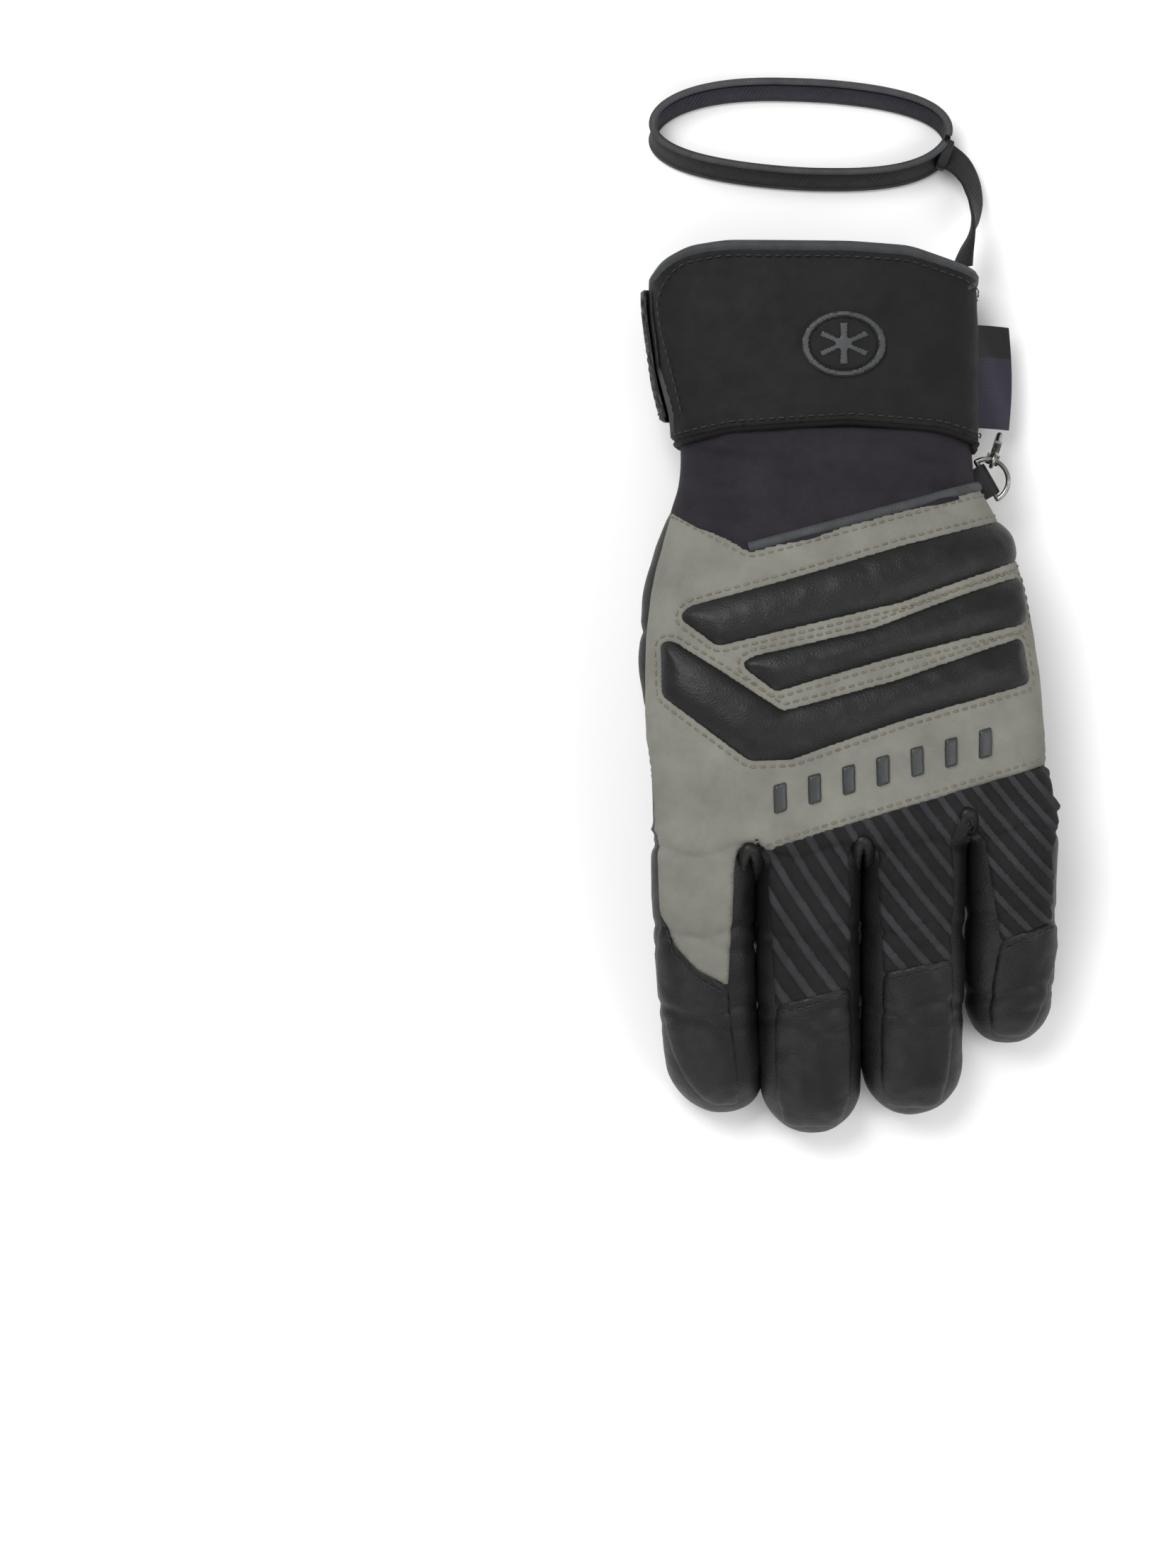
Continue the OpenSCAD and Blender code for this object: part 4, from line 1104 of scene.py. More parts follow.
def make_back():
    windows = {n: BACK.flat(rounded(p, 1.7, step=0.8)) for n, p in PADS.items()}
    outline = back_outline()
    grey = panel("%s_softshell", BACK, outline, GREY, holes=list(windows.values()), step=1.05, lift=1.0,
                 depth=1.8, edge=1.1, height=settled, split=index_or_hand)
    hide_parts("back_panel")
    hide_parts("index_back")
    for body, piece in grey.items():
        fit(piece, "softshell", body)
    for name, window in windows.items():
        pad = panel(name + "_leather", BACK, shrunk(window, -1.2), LEATHER, step=0.85, lift=0.35, depth=1.6,
                    edge=1.6, height=puffed(3.0, 8.5))
        foam = ["pad_foam"] if name == "knuckle_pad_upper" else []
        fit(pad, "goat_leather", "hand", name, *foam, fill=0.8)
        rim = piping(name + "_cut_edge", BACK, window, 0.42, 0.5, 0.7, CUT_EDGE, closed=True)
        fit(rim, "softshell", "hand")
        sew("hand", "khaki", BACK, shrunk(window, -2.6), 1.12, closed=True)


def make_ribs():
    """Slanted raised blocks of rubber along the knuckles."""
    parts = []
    middle_x, middle_y, pitch, climb, slope = 10, -26.5, 10.6, 2.82, math.radians(14.9)
    c, s = math.cos(slope), math.sin(slope)
    for i in range(7):
        x = middle_x + (i - 3) * pitch
        y = middle_y + (i - 3) * climb
        block = [(-3.3, -4.5), (1.2, -4.5), (3.3, 4.5), (-1.2, 4.5)]
        outline = BACK.flat(rounded([(x + c * a - s * b, y + s * a + c * b) for a, b in block], 1.1,
                                    step=0.45))
        ridge = lambda flat, places, edge: 0.35 * np.clip(edge / 1.3, 0, 1)
        parts.append(panel("rubber_%d" % i, BACK, outline, RUBBER, step=0.5, lift=1.75, depth=1.6, edge=0.6,
                           height=ridge))
    for piece in parts:
        fit(piece, "moulded_rubber", "hand")
    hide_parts("rubber_ribs")


def make_wrist():
    low = [(x, line_at(WRIST_V, x) - 2.0) for x in (-61, -53, -31, 44.5, 53)]

    def folds(flat, places, edge):
        side = np.exp(-((np.abs(flat[:, 0]) - 44) / 9) ** 2)
        pleats = side * np.sin(flat[:, 1] * 0.62 + 0.09 * flat[:, 0])
        waves = 0.3 * np.sin(flat[:, 1] * 0.33 + 0.05 * flat[:, 0])
        return 0.4 + 0.7 * pleats + waves + 0.35 * soft_noise(places, 12, 4.0)

    outline = BACK.flat(rounded(low + [(46, 70), (45, 80), (-57, 80), (-58.5, 66)], 0.5, step=1.1))
    navy = panel("wrist_stretch", BACK, outline, NAVY, step=1.1, lift=0.6, depth=1.6, edge=1.2, height=folds)
    fit(navy, "navy_stretch", "hand", "wrist_panel")
    line = BACK.flat(rounded([(x, line_at(WRIST_V, x) + 0.7) for x in (-31.4, 8, 44.5, 50)], 4,
                             closed=False))
    pipe = piping("wrist_cord", BACK, line, 1.55, 1.1, 1.0, PIPE)
    fit(pipe, "binding_tape", "hand", "wrist_piping")
    below = [(x, line_at(WRIST_V, x) - 2.6) for x in (-60, -53, -31, 44.5, 54)]
    sew("hand", "khaki", BACK, BACK.flat(rounded(below, 3, closed=False)), 1.12)


def make_knuckle_seams():
    """A row of stitches above the lower edge of the grey panel."""
    line = [(x, line_at(BACK_EDGE, x) + 2.2) for x in (-27, 0, 30, 59)]
    sew("hand", "khaki", BACK, BACK.flat(rounded(line, 3, closed=False)), 1.12)


# ---------------------------------------------------------------- fingers

RIB_PITCH = 6.0
RIB_WAY = (0.785, 0.62)  # across the ribs, seen from above
RIB_SHARE = 0.36  # of the pitch, taken by the raised strip


def rib_phase(places):
    bend = 0.0035 * (places[:, 0] - 20) * (places[:, 1] + 60)
    return ((places[:, 0] * RIB_WAY[0] + places[:, 1] * RIB_WAY[1] + bend) / RIB_PITCH) % 1.0


def ribbed_height(flat, places, edge):
    """A narrow raised rib between two grooves, then a broad low one."""
    t = rib_phase(places)
    raised = np.sin(math.pi * np.clip(t / RIB_SHARE, 0, 1))
    low = np.sin(math.pi * np.clip((t - RIB_SHARE) / (1 - RIB_SHARE), 0, 1))
    crown = np.where(t < RIB_SHARE, 1.05 * raised ** 0.6, 0.65 * low ** 0.5)
    return crown * np.clip(edge / 1.2, 0, 1)


def make_ribbing():
    ribbing = panel("%s_ribbing", BACK, BACK.flat(rounded(RIBBING, 1.6, step=0.9)), RIB, step=0.6, lift=0.3,
                    depth=1.4, edge=0.9, height=ribbed_height, split=hand_or_finger)
    for body, piece in ribbing.items():
        # the raised strips take the lighter rib cloth as a painted highlight; the low strips keep the dark
        # one
        piece.data.materials.append(RIB_PAINTED_HIGHLIGHT)
        middles = np.array([f.center for f in piece.data.polygons]) / MM
        raised = rib_phase(middles) < RIB_SHARE
        piece.data.polygons.foreach_set("material_index", raised.astype(np.int32))
        fit(piece, "stretch_rib", body)
        if body in ("middle", "ring_finger", "little"):
            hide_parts(body + "_back")


def arch_height(x, y, top):
    """z of an arch: level with the hand at its top and sinking onto the finger's side below it."""
    back = hand_point(y, np.pi / 2 + 0 * y)
    hand = back[:, 2] - LEAN[0][1] * (x - back[:, 0])
    finger = np.empty(len(x))
    for k, name in enumerate(NAMES):
        f = FINGERS[name]
        mine = finger_of(np.stack([x, y], axis=1)) == k
        mid, _, mz, half = finger_mid(f, f[0] - y[mine])
        r = np.clip(np.abs(x[mine] - mid) / half, 0, 0.985)
        finger[mine] = mz + f[7] * np.sin(np.arccos(r ** (FINGER_POWER / 2))) ** (2 / FINGER_POWER)
    t = np.clip((top - y) / 12, 0, 1)
    t = t * t * (3 - 2 * t)
    return (1 - t) * (hand - 1.0) + t * finger


def make_arches():
    """The leather between two fingers, folded over the gap's end into a rounded arch."""
    for k, (x, y, half) in enumerate(ARCHES):
        legs = [(1.35 * half, 34), (1.1 * half, 24), (0.98 * half, 12), (0.86 * half, 4.5),
                (0.5 * half, 1.1)]
        line = [(x - a, y - b) for a, b in legs] + [(x, y)] + [(x + a, y - b) for a, b in reversed(legs)]
        line = resampled(rounded(line, 1.5, closed=False, step=0.6), 0.6)
        places = np.column_stack([line, arch_height(line[:, 0], line[:, 1], y)])
        for _ in range(6):
            places[1:-1] = (places[:-2] + 2 * places[1:-1] + places[2:]) / 4
        tangents = unit(np.gradient(places, axis=0))
        outward = np.column_stack([0.35 * np.sign(line[:, 0] - x) * (np.abs(line[:, 0] - x) > 0.8),
                                   0 * line[:, 0], 1 + 0 * line[:, 0]])
        puckers = 1 + 0.05 * np.sin(np.arange(len(line)) * 1.9)
        thin = np.clip((line[:, 1] - y + 34) / 16, 0.1, 1)
        points, faces = tube_mesh(places, outward, tangents, 1.95 * puckers * thin, 1.5 * thin, sides=12)
        triangles = np.array([(f[0], f[j], f[j + 1]) for f in faces for j in range(1, len(f) - 1)])
        normals = vertex_normals(points, triangles)
        bodies = hand_or_finger(points[triangles].mean(axis=1))
        for body in sorted(set(bodies)):
            piece = part_of("%s_arch_%d" % (body, k), points, triangles[bodies == body], normals, LEATHER)
            fit(piece, "goat_leather", body)


def creased(flat, places, edge):
    return 0.3 * soft_noise(places, 7, 6.5)


def make_finger(name):
    wrap = FINGER_WRAPS[name]
    f = FINGERS[name]
    outline = BACK.flat(rounded(CAPS[name], 3.0, step=0.9))
    cap = panel(name + "_cap_leather", BACK, outline, LEATHER, step=0.9, lift=0.85, depth=1.7, edge=1.5,
                height=lambda flat, places, edge: (0.3 * soft_noise(places, 5, 2.5)
                                                   + 0.5 * np.clip(edge / 7, 0, 1) ** 0.7))
    fit(cap, "goat_leather", name, name + "_cap", fill=0.6)
    ends = 4 if name == "index" else 2
    seam = [(x, y - 2.1) for x, y in CAPS[name][:ends]]
    seam = [(seam[0][0] + 1.5, seam[0][1])] + seam[1:-1] + [(seam[-1][0] - 1.5, seam[-1][1])]
    sew(name, "dark", BACK, BACK.flat(rounded(seam, 2, closed=False)), 1.2, length=1.8)
    front = [(232, f[0] - 1), (308, f[0] - 1), (310, f[1] + 22), (300, f[1] + 13), (280, f[1] + 9.5),
             (260, f[1] + 9.5), (240, f[1] + 13), (230, f[1] + 22)]
    pad = panel(name + "_front_leather", wrap, wrap.flat(rounded_flat(wrap, front, 2.0)), LEATHER, step=1.1,
                lift=0.8, depth=1.5, edge=1.3, height=creased)
    fit(pad, "goat_leather", name, name + "_front")
    sew(name, "dark", wrap, wrap.flat(rounded_flat(wrap, inset_angles(front, 230, 310, 8), 2.0)), 0.9,
        closed=True, length=1.8)


def inset_angles(points, left, right, inset):
    """The outline with its sides drawn in by an angle."""
    low, high = min(left, right), max(left, right)
    return [(np.interp(a, [low, high], [low + inset, high - inset]), y) for a, y in points]


def rounded_flat(wrap, points, radius, closed=True):
    """Rounds an outline given as (angle, y), with its angles in millimetres while it does."""
    scale = math.radians(1) * wrap.radius
    line = rounded([(a * scale, y) for a, y in points], radius, closed, step=0.9)
    return np.stack([line[:, 0] / scale, line[:, 1]], axis=1)


# ---------------------------------------------------------------- thumb and its mound

def make_thumb_form():
    angles = np.arange(72) * TAU / 72
    ys = np.concatenate([np.arange(70, -62, -1.6), -64 - 17 * np.sin(np.linspace(0, math.pi / 2, 16))[:-1],
                         [-80.98]])
    points, faces = loft([thumb_point(y, angles) for y in ys])
    points, triangles = modified(points, faces)
    normals = vertex_normals(points, triangles)
    if (normals * (points - points.mean(axis=0))).sum() < 0:
        triangles = triangles[:, ::-1]
        normals = -normals
    swell = 0.3 * soft_noise(points, 15, 9.0) + 0.2 * soft_noise(points, 6, 4.4)
    for y, deep in ((18, 0.9), (-8, 0.5), (-14, 0.6), (-45, 0.45)):
        swell -= deep * np.exp(-((points[:, 1] - y - 2 * np.sin(points[:, 0] * 0.2)) / 1.7) ** 2)
    points = points + normals * swell[:, None]
    points[:, 2] = np.maximum(points[:, 2], 0.15)
    return Form(points, triangles)


THUMB_FORM = make_thumb_form()
THUMB_WRAP = TubeWrap(THUMB_FORM, thumb_point, THUMB_RADIUS)


def make_thumb():
    form = THUMB_FORM
    parts = lambda m: np.where(m[:, 1] < 30, "thumb", "hand")
    bodies = parts(form.points[form.triangles].mean(axis=1))
    for body in ("hand", "thumb"):
        name = "mound_form" if body == "hand" else "thumb_form"
        piece = part_of(name, form.points, form.triangles[bodies == body], form.normals, LEATHER)
        fit(piece, "goat_leather", body, fill=0.7)
        if body == "thumb":
            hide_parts("thumb_sidewalls", "thumb_liner")
    # the back of the thumb faces the floor
    grey = [(228, 66), (312, 66), (316, 30), (314, -20), (300, -40), (262, -46), (232, -42), (224, -22),
            (222, 30)]
    back = panel("%s_thumb_softshell", THUMB_WRAP, THUMB_WRAP.flat(rounded_flat(THUMB_WRAP, grey, 2.0)),
                 GREY, step=1.2, lift=0.45, depth=1.2, edge=1.2, drop=1.0, split=parts)
    for body, piece in back.items():
        fit(piece, "softshell", body, "thumb_mound" if body == "hand" else "thumb_back")
    tip = [(226, -44), (262, -48), (300, -42), (312, -56), (300, -70), (282, -74.5), (258, -74.5),
           (240, -70), (226, -58)]
    cap = panel("thumb_cap_leather", THUMB_WRAP, THUMB_WRAP.flat(rounded_flat(THUMB_WRAP, tip, 2.5)),
                LEATHER, step=1.1, lift=0.45, depth=1.2, edge=1.3, drop=1.0)
    fit(cap, "goat_leather", "thumb", "thumb_cap")
    front = [(46, 24), (134, 24), (134, -58), (122, -68), (105, -73), (75, -73), (58, -68), (46, -58)]
    pad = panel("thumb_front_leather", THUMB_WRAP, THUMB_WRAP.flat(rounded_flat(THUMB_WRAP, front, 2.5)),
                LEATHER, step=1.2, lift=0.7, depth=1.4, edge=1.3)
    fit(pad, "goat_leather", "thumb", "thumb_front")
    seam = rounded_flat(THUMB_WRAP, inset_angles(front, 46, 134, 8), 2.0)
    sew("thumb", "dark", THUMB_WRAP, THUMB_WRAP.flat(seam), 0.75, closed=True)


# ---------------------------------------------------------------- palm

def make_palm():
    """The reinforcement with its quilting, the gathered wrist and its elastic, seen from below."""
    flat = PALM.flat
    outline = flat(rounded([(-16, -34), (57, -20), (56, 22), (50, 42), (8, 48), (-14, 42), (-19, 18)], 4,
                           step=1.0))
    channels = [[(52, -9), (42.6, -1), (-14, -12)], [(46, 8), (26, 13), (-14, 7)],
                [(34, 24), (8, 28), (-12, 26)]]
    lines = [resampled(flat(rounded(c, 4, closed=False)), 1.5) for c in channels]
    starts = np.concatenate([l[:-1] for l in lines])
    ends = np.concatenate([l[1:] for l in lines])

    def quilted(flat_points, places, edge):
        d = distance_to(flat_points, (starts, ends))
        crown = 1.5 * np.clip(edge / 9, 0, 1) ** 0.6
        sewn = 1.5 * np.exp(-(d / 1.5) ** 2) * np.clip(edge / 3, 0, 1)
        return crown - sewn + 0.2 * soft_noise(places, 6, 7.0)

    pad = panel("palm_quilted", PALM, outline, LEATHER, step=1.0, lift=0.7, depth=1.5, edge=1.2,
                height=quilted)
    fit(pad, "goat_leather", "hand", "palm_reinforcement", fill=0.6)
    for inset in (1.6, 3.2):
        sew("hand", "dark", PALM, shrunk(outline, inset), 1.25, closed=True, length=1.8)
    for line in lines:
        sew("hand", "dark", PALM, line, 1.0, length=1.8)
    wrist = flat(rounded([(-50, 52), (-20, 57), (8, 49), (44, 45), (46, 52), (38.5, 66), (39, 80),
                          (-50, 80), (-49.5, 66), (-51, 58)], 1, step=1.2))

    def gathers(flat_points, places, edge):
        folds = np.abs(np.sin(flat_points[:, 0] * 0.62 + 1.5 * np.sin(flat_points[:, 1] * 0.13)))
        tight = np.exp(-((flat_points[:, 1] - 67) / 8) ** 2)
        drawn = (folds ** 0.7 * (1 - 0.35 * tight) - 0.8 * tight) * np.clip(edge / 4, 0, 1)
        return drawn + 0.3 * soft_noise(places, 9, 1.0)

    gather = panel("wrist_gathers", PALM, wrist, GREY, step=1.1, lift=0.9, depth=1.6, edge=1.2,
                   height=gathers)
    fit(gather, "softshell", "hand", "wrist_gather")
    band = flat(rounded([(-44, 62.6), (34, 62.6), (34, 69.4), (-44, 69.4)], 1, step=1.0))
    puckers = lambda f, places, edge: 0.35 * np.abs(np.sin(f[:, 0] * 1.1)) * np.clip(edge / 1, 0, 1)
    elastic = panel("wrist_band", PALM, band, ELASTIC, step=0.8, lift=1.5, depth=1.2, edge=0.6,
                    height=puckers)
    fit(elastic, "elastic", "hand", "wrist_elastic")
    zigzag = [(x, 64.0 + 4 * (k % 2)) for k, x in enumerate(np.arange(-42, 33, 2.6))]
    sew("hand", "khaki", PALM, PALM.flat(rounded(zigzag, 0.3, closed=False, step=0.5)), 2.0, length=2.4,
        gap=0.5)


# ---------------------------------------------------------------- cuff

CUFF = HandWrap(None, off=0.2)
CUFF_PALM = HandWrap(None, palm=True, off=0.2)
CUFF_TOP = [(-52.6, 75.5), (-35, 79.6), (0, 82), (27, 79.8), (41, 75.2)]
CUFF_END = [
    (45, 124), (41, 125), (36, 129.5), (18, 135.5), (0, 136.8), (-37, 137.2), (-48, 135.6), (-54.6, 132),
    (-59.8, 124.5),
]


def cuff_outline():
    left = [(-58.6, 114), (-55.7, 100), (-51.8, 84)]
    right = [(50, 74.2), (51, 100), (50, 122.8)]
    return CUFF.flat(rounded(CUFF_TOP + right + CUFF_END + left, 2.0, step=1.2))


def cuff_waves(flat, places, edge):
    seam = 0.3 * np.exp(-(edge - 3.5) ** 2)
    return 0.45 * soft_noise(places, 22, 6.0) + 0.2 * soft_noise(places, 8, 2.2) - seam


def make_cuff():
    back = panel("cuff_back_neoprene", CUFF, cuff_outline(), NEOPRENE, step=1.4, lift=3.0, depth=3.0,
                 edge=1.6, drop=0.3, height=cuff_waves)
    fit(back, "neoprene", "hand", "cuff_back", "cuff_insulation")
    low = [(-50, 76), (-30, 73.8), (0, 75), (38, 72.5), (43, 74)]
    end = [(43, 125), (34, 129), (7, 134.5), (-32, 136.5), (-43, 136), (-47, 128)]
    palm = panel("cuff_palm_neoprene", CUFF_PALM, CUFF_PALM.flat(rounded(low + end, 2.0, step=1.3)),
                 NEOPRENE, step=1.5, lift=2.8, depth=2.8, edge=1.6, drop=0.3, height=cuff_waves)
    fit(palm, "neoprene", "hand", "cuff_palm")
    gusset_wrap = HandWrap(None, palm=True, off=-1.2)
    gusset = [(-70, 82), (-36, 82), (-34, 132), (-40, 133), (-46, 130), (-66, 130)]
    pleats = lambda f, places, edge: 0.4 * np.sin(f[:, 1] * 0.9) * np.clip(edge / 3, 0, 1)
    inner = panel("cuff_gusset_cloth", gusset_wrap, gusset_wrap.flat(rounded(gusset, 1.5, step=1.2)), RIB,
                  step=1.2, lift=0.6, depth=0.8, edge=0.8, height=pleats)
    fit(inner, "stretch_rib", "hand", "cuff_gusset")


def make_bindings():
    """Folded tape round the edges of the cuff, with its own stitches."""
    middle = HandWrap(None, off=1.6)
    left = [(-58.6, 114), (-55.7, 100), (-51.8, 84), (-51.2, 78)]
    end = middle.flat(rounded([(50, 122.8)] + CUFF_END + left, 3.0, closed=False))
    tape_end = piping("cuff_back_tape", middle, end, 1.9, 2.35, 0.1, TAPE)
    fit(tape_end, "binding_tape", "hand", "cuff_back_binding")
    lower = middle.flat(rounded([(-62, 74), (-53, 75.5)] + CUFF_TOP[1:-1] + [(41, 75), (50, 74.2)], 3.0,
                                closed=False))
    tape_low = piping("cuff_flap_tape", middle, lower, 0.9, 1.9, 0.0, NEOPRENE)
    fit(tape_low, "neoprene", "hand")
    palm = HandWrap(None, palm=True, off=1.4)
    line = palm.flat(rounded([(-49, 112), (-47, 128), (-43, 136), (-32, 136.6), (7, 134.6), (34, 129),
                              (46, 124)], 3.0, closed=False))
    tape_palm = piping("cuff_palm_tape", palm, line, 1.7, 2.1, 0.0, TAPE)
    fit(tape_palm, "binding_tape", "hand", "cuff_palm_binding")
    on_cuff = HandWrap(None, off=CUFF_OUT)
    seam = on_cuff.flat(rounded([(x, y + 2.6) for x, y in CUFF_TOP], 3, closed=False))
    sew("hand", "dark", on_cuff, seam, 0.35, length=2.2)
    inner = [(42.5, 120.5), (39.5, 122), (34.5, 126.6), (17, 132.6), (0, 133.8), (-36.5, 134.2),
             (-48.5, 132), (-53, 128), (-56.2, 121), (-55.2, 112), (-52.2, 100), (-48.6, 85)]
    sew("hand", "dark", on_cuff, on_cuff.flat(rounded(inner, 3, closed=False)), 0.3, length=2.2)


def make_badge():
    """A raised badge: an oval ring round a six-armed star."""
    on_cuff = HandWrap(None, off=CUFF_OUT)
    t = np.linspace(0, TAU, 72, endpoint=False)
    x, y, stretch = -2, 106.3, 1.19
    oval = lambda r: on_cuff.flat(np.stack([x + stretch * r * np.cos(t), y + r * np.sin(t)], axis=1))
    ring = panel("badge_ring", on_cuff, oval(10.4), RUBBER, holes=[oval(8.3)[::-1]], step=0.6, lift=1.5,
                 depth=1.6, edge=0.6)
    plate = panel("badge_plate", on_cuff, oval(8.5), NEOPRENE, step=0.9, lift=0.75, depth=0.9, edge=0.8)
    fit(ring, "moulded_rubber", "hand", "cuff_emblem")
    fit(plate, "neoprene", "hand")
    star = []
    for k in range(6):
        for turn, r in ((-9, 2.2), (-10, 6.8), (10, 6.8), (9, 2.2)):
            a = math.radians(60 * k + 30 + (turn if r > 3 else turn * 3))
            star.append((x + stretch * r * math.cos(a), y + r * math.sin(a)))
    shape = panel("badge_star", on_cuff, on_cuff.flat(rounded(star, 0.5, step=0.4)), RUBBER, step=0.5,
                  lift=1.5, depth=1.4, edge=0.5)
    fit(shape, "moulded_rubber", "hand")


def make_lining():
    """The lining that shows in the cuff's mouth, turned out to meet the neoprene."""
    angles = np.arange(120) * TAU / 120
    rings = []
    section = [(60, -5.8), (80, -5.6), (100, -5.6), (118, -5.6), (127, -5.4), (131, -4.2), (132.6, -2.2),
               (132.8, -0.2), (131.5, 0.3), (128, 0.1)]  # y and how far out of the hand's surface
    for y, off in section:
        slack = np.interp(np.degrees(angles), [0, 60, 120, 200, 300, 360], [-9, 0, 0, -6, -4, -9])
        rings.append(hand_point(y + slack * (y > 100), angles, off))
    points, faces = loft(rings, close_ends=False)
    points, triangles = modified(points, faces, ("SUBSURF", {"levels": 2}))
    normals = vertex_normals(points, triangles)
    points = points + normals * (0.4 * soft_noise(points, 7, 3.0))[:, None]
    lining = mesh_object("cuff_lining", points, triangles, FLEECE)
    shell = lining.modifiers.new("thickness", "SOLIDIFY")
    shell.thickness = 0.6 * MM
    fit(lining, "lining_fleece", "hand", "hand_lining")


def make_label():
    """The woven label sewn into the side seam, blank, in two colours."""
    seam, width, rows, columns = 41.0, 10.6, 14, 9
    for name, y0, y1, material in (("label_end", 103.6, 113.6, LABEL_TOP),
                                   ("label_main", 81.2, 103.6, LABEL)):
        ys = np.linspace(y0, y1, rows)
        xs = np.linspace(seam, seam + width, columns)
        top = [(x + 0.9 * math.sin((y - 81) / 10.3) * (x - seam) / width,
                y - 0.5 * ((x - seam) / width) ** 2,
                17.6 - 0.6 * (x - seam) + 0.3 * math.sin(0.5 * (x - seam) + y * 0.17))
               for y in ys for x in xs]
        n = len(top)
        points = np.array(top + [(x, y, z - 0.7) for x, y, z in top])
        faces = []
        grid = np.arange(n).reshape(rows, columns)
        for i in range(rows - 1):
            for j in range(columns - 1):
                q = (grid[i, j], grid[i, j + 1], grid[i + 1, j + 1], grid[i + 1, j])
                faces += [q, tuple(k + n for k in reversed(q))]
        edge = np.concatenate([grid[0], grid[1:, -1], grid[-1, -2::-1], grid[-2:0:-1, 0]])
        faces += [(b, a, a + n, b + n) for a, b in zip(edge, np.roll(edge, -1))]
        label = mesh_object(name, points, faces, material)
        fit(label, "label_satin", "hand", *(["side_label"] if name == "label_main" else []))


# ---------------------------------------------------------------- closure tab

def make_tab():
    wrap = HandWrap(None, palm=True, off=CUFF_OUT + 1.6)
    outline = wrap.flat(rounded([(-57.0, 82.5), (21, 88.6), (21, 130), (-60.2, 124.5)], 4, step=1.1))
    puckers = lambda f, places, edge: (0.25 * soft_noise(places, 10, 2.0)
                                       - 0.25 * np.exp(-((edge - 2.6) / 0.8) ** 2))
    leather_tab = panel("tab_leather", wrap, outline, LEATHER, step=1.3, lift=1.5, depth=1.6, edge=1.0,
                        height=puckers)
    fit(leather_tab, "goat_leather", "tab", "closure_tab")
    sew("tab", "dark", wrap, shrunk(outline, 2.6), 1.3, closed=True)
    zigzag = [(9 + 3.2 * (k % 2), y) for k, y in enumerate(np.arange(95, 126, 2.4))]
    sew("tab", "khaki", wrap, wrap.flat(rounded(zigzag, 0.3, closed=False, step=0.5)), 1.55, length=2.6,
        gap=0.4)
    under = HandWrap(None, palm=True, off=CUFF_OUT)
    outline = under.flat(rounded([(-20, 89.5), (23, 91), (23, 128), (-20, 125.5)], 3, step=1.2))
    patch = panel("hook_tape_patch", under, outline, HOOKS, step=1.4, lift=1.2, depth=1.1, edge=0.5)
    fit(patch, "hook_tape", "hand", "hook_patch")


# ---------------------------------------------------------------- leash

# Middle of the tether: x, y, z and the turn of its width, as in the frame
TETHER = [
    (36.6, 132, 19, 55), (37.8, 137.5, 18, 70), (39.3, 142, 16, 88), (40.7, 148, 12.5, 108),
    (41.0, 153.5, 9.5, 121), (39.8, 159.5, 7.8, 128), (36.4, 165, 7, 140), (31.5, 168.2, 6.2, 150),
]


def ribbon(centres, wide, thin, width, thickness):
    """A strap through centres; wide and thin are its directions at each."""
    n = len(centres)
    profile = [(-0.5, -0.3), (-0.42, -0.5), (0, -0.5), (0.42, -0.5), (0.5, -0.3), (0.5, 0.3), (0.42, 0.5),
               (0, 0.5), (-0.42, 0.5), (-0.5, 0.3)]
    rings = [np.array([centres[i] + a * width * wide[i] + b * thickness * thin[i] for a, b in profile])
             for i in range(n)]
    return loft(rings)


def loop_line(count, up):
    """Points round the wrist loop at a height up its band, from the sewn block round to it again."""
    a = np.radians(np.linspace(-12, 340, count))
    c = np.cos(a)
    x = -14 + 46.5 * np.sign(c) * np.abs(c) ** np.where(c > 0, 0.85, 1.02) - 4 * np.sin(a)
    y = 172 + 14.5 * np.sin(a) + 5 * up / 11 + 0.6 * np.sin(3 * a + 1)
    return np.stack([x, y, 0.4 + up + 0 * x], axis=1)


def make_leash():
    route = resampled([p[:3] for p in TETHER], 0.8)
    for _ in range(12):
        route[1:-1] = (route[:-2] + 2 * route[1:-1] + route[2:]) / 4
    turn = np.radians(np.interp(np.linspace(0, 1, len(route)), np.linspace(0, 1, len(TETHER)),
                                [p[3] for p in TETHER]))
    tangent = unit(np.gradient(route, axis=0))
    side = unit(np.cross(tangent, [0, 0, 1]))
    up = np.cross(side, tangent)
    wide = np.cos(turn)[:, None] * side + np.sin(turn)[:, None] * up
    thin = np.cross(wide, tangent)
    tether = mesh_object("leash_strap", *ribbon(route, wide, thin, 9.4, 1.3), WEBBING)
    low, high = loop_line(130, 0.6), loop_line(130, 10.4)
    middle = (low + high) / 2
    wide = unit(high - low)
    tangent = unit(np.gradient(middle, axis=0))
    thin = np.cross(wide, tangent)
    band = mesh_object("leash_band", *ribbon(middle, wide, thin, 10.4, 1.6), WEBBING)
    inner = middle + thin * 0.9 * inward(middle, thin)
    lining = mesh_object("leash_band_lining", *ribbon(inner, wide, thin, 8.2, 0.5), NAVY_BAND)
    pieces = [band, lining]
    for name, line in (("leash_edge_low", low), ("leash_edge_high", high)):
        pieces.append(mesh_object(name, *tube_mesh(line, wide, tangent, 1.25, 0.8), TAPE))
    block_mid = np.array([31.6, 168.0, 5.8])
    block = mesh_object("leash_block", *sewn_block(block_mid, -20), WEBBING)
    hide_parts("leash_tether")
    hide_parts("leash_loop")
    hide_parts("leash_stitch_block")
    for piece in [tether, block] + pieces:
        fit(piece, "webbing", "hand")


def inward(middle, thin):
    """1 or -1, so that thin points to the inside of the loop."""
    centre = middle.mean(axis=0)
    return 1 if ((centre - middle) * thin).sum() > 0 else -1


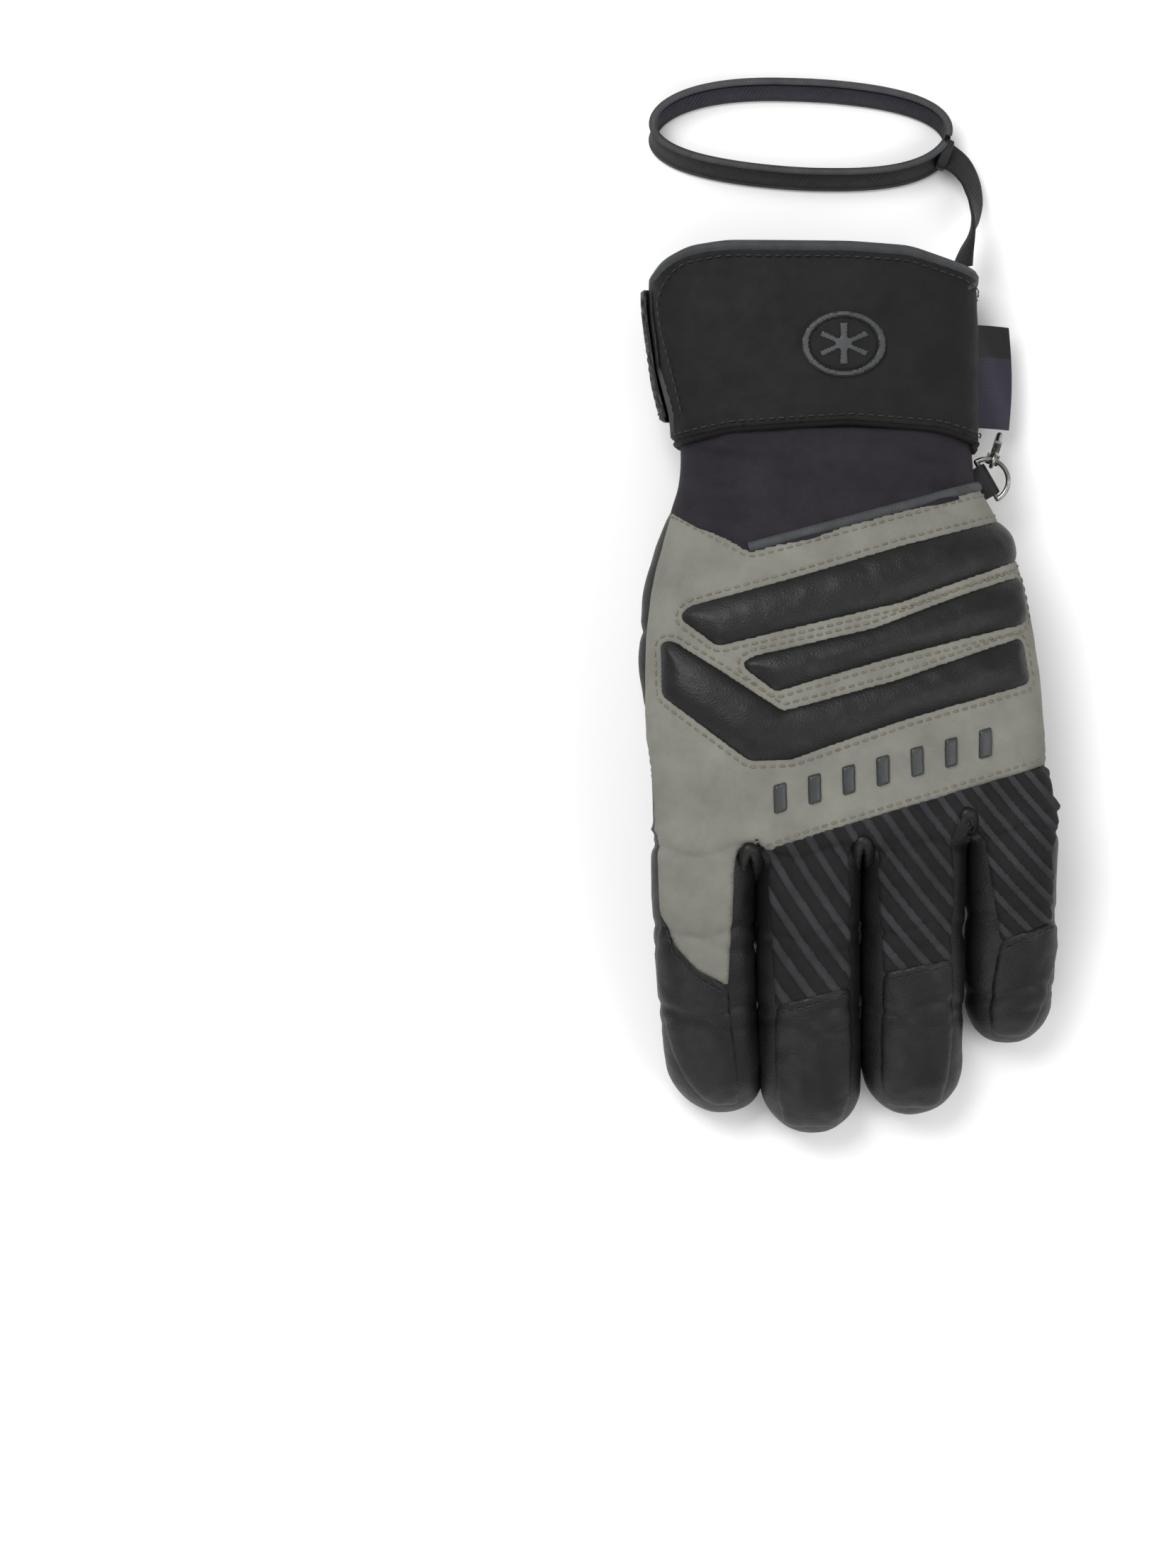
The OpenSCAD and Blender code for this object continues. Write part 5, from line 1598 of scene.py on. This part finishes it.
def sewn_block(middle, turn):
    c, s = math.cos(math.radians(turn)), math.sin(math.radians(turn))
    rings = []
    for z, grow in ((-5.0, 0.75), (-4.2, 1.0), (0, 1.04), (4.2, 1.0), (5.0, 0.75)):
        a = np.arange(24) * TAU / 24
        x, y = 1.7 * grow * power(np.cos(a), 0.4), 4.8 * grow * power(np.sin(a), 0.4)
        rings.append(np.stack([middle[0] + c * x - s * y, middle[1] + s * x + c * y, middle[2] + z + 0 * a],
                              axis=1))
    return loft(rings)


# ---------------------------------------------------------------- ring and clip

def make_hardware():
    for name in ("d_ring", "snap_hook", "snap_gate"):
        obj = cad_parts[name]
        obj.data.materials.clear()
        obj.data.materials.append(METAL)
    bar = np.array([0.5, -0.866, 0])  # along the ring's straight side
    away = np.array([0.866, 0.5, 0])
    middle = np.array([44, 64.5, 24.0])
    turn = np.radians(np.linspace(-90, 90, 13))
    # half thickness round the bar, its waist, and how far it runs into the seam
    half, waist, deep = 1.85, 0.3, 5.2
    top = np.linspace(0, -deep, 9)
    profile = [(half * math.cos(a), half * math.sin(a)) for a in turn]
    profile += [(d, half - waist * math.sin(-d / deep * math.pi)) for d in top[1:]]
    profile += [(d, -half + waist * math.sin(-d / deep * math.pi)) for d in top[:0:-1]]
    rings = []
    for along_bar, grow in ((-5.2, 0.72), (-5.0, 0.95), (-4.4, 1.0), (0, 1.02), (4.4, 1.0), (5.0, 0.95),
                            (5.2, 0.72)):
        rings.append(np.array([middle + bar * along_bar + away * d * (grow if d > 0 else 1)
                               + np.array([0, 0, z * grow]) for d, z in profile]))
    strap = mesh_object("ring_strap", *loft(rings), WEBBING)
    fit(strap, "webbing", "hand", "ring_webbing")


# ---------------------------------------------------------------- studio

def make_studio():
    bpy.ops.mesh.primitive_plane_add(size=6)
    floor = bpy.context.object
    floor.name = "studio_floor"
    floor.data.materials.append(floor_finish())
    world = bpy.data.worlds.new("studio")
    world.use_nodes = True
    world.node_tree.nodes["Background"].inputs["Color"].default_value = (1, 1, 1, 1)
    world.node_tree.nodes["Background"].inputs["Strength"].default_value = 0.5
    bpy.context.scene.world = world
    for name, place, size, energy in (
        ("key", (-0.5, 0.7, 1.25), 0.8, 17),
        ("fill", (0.9, -0.3, 1.1), 1.0, 8),
        ("low", (-0.4, -1.1, 0.7), 0.8, 4),
    ):
        light = bpy.data.lights.new(name, "AREA")
        light.energy = energy
        light.size = size
        lamp = bpy.data.objects.new(name, light)
        bpy.context.scene.collection.objects.link(lamp)
        lamp.location = place
        lamp.rotation_euler = (Vector((0, 0, 0.02)) - Vector(place)).to_track_quat("-Z", "Y").to_euler()


def make_camera():
    """Straight above, far off, with the glove in the right half of an upright frame."""
    height, level = 2.5, 0.025
    view_height = 0.4916
    camera = bpy.data.cameras.new("camera")
    camera.sensor_width = 36
    camera.lens = 36 * (height - level) / view_height
    camera.clip_end = 20
    obj = bpy.data.objects.new("camera", camera)
    bpy.context.scene.collection.objects.link(obj)
    obj.location = (-0.0811, -0.0307, height)
    bpy.context.scene.camera = obj


# ---------------------------------------------------------------- everything

bpy.context.scene.view_settings.view_transform = "Standard"
make_camera()
make_studio()
make_leash()
make_base()
make_back()
make_ribs()
make_wrist()
make_knuckle_seams()
make_ribbing()
make_arches()
for finger in NAMES:
    make_finger(finger)
make_thumb()
make_palm()
make_cuff()
make_bindings()
make_badge()
make_lining()
make_label()
make_tab()
make_hardware()
for (body, kind), parts in SEWING.items():
    stitching = mesh_object("stitching_%s_%s" % (body, kind), *joined(parts),
                            KHAKI if kind == "khaki" else DARK_THREAD, sharp=0)
    attach(stitching, body)
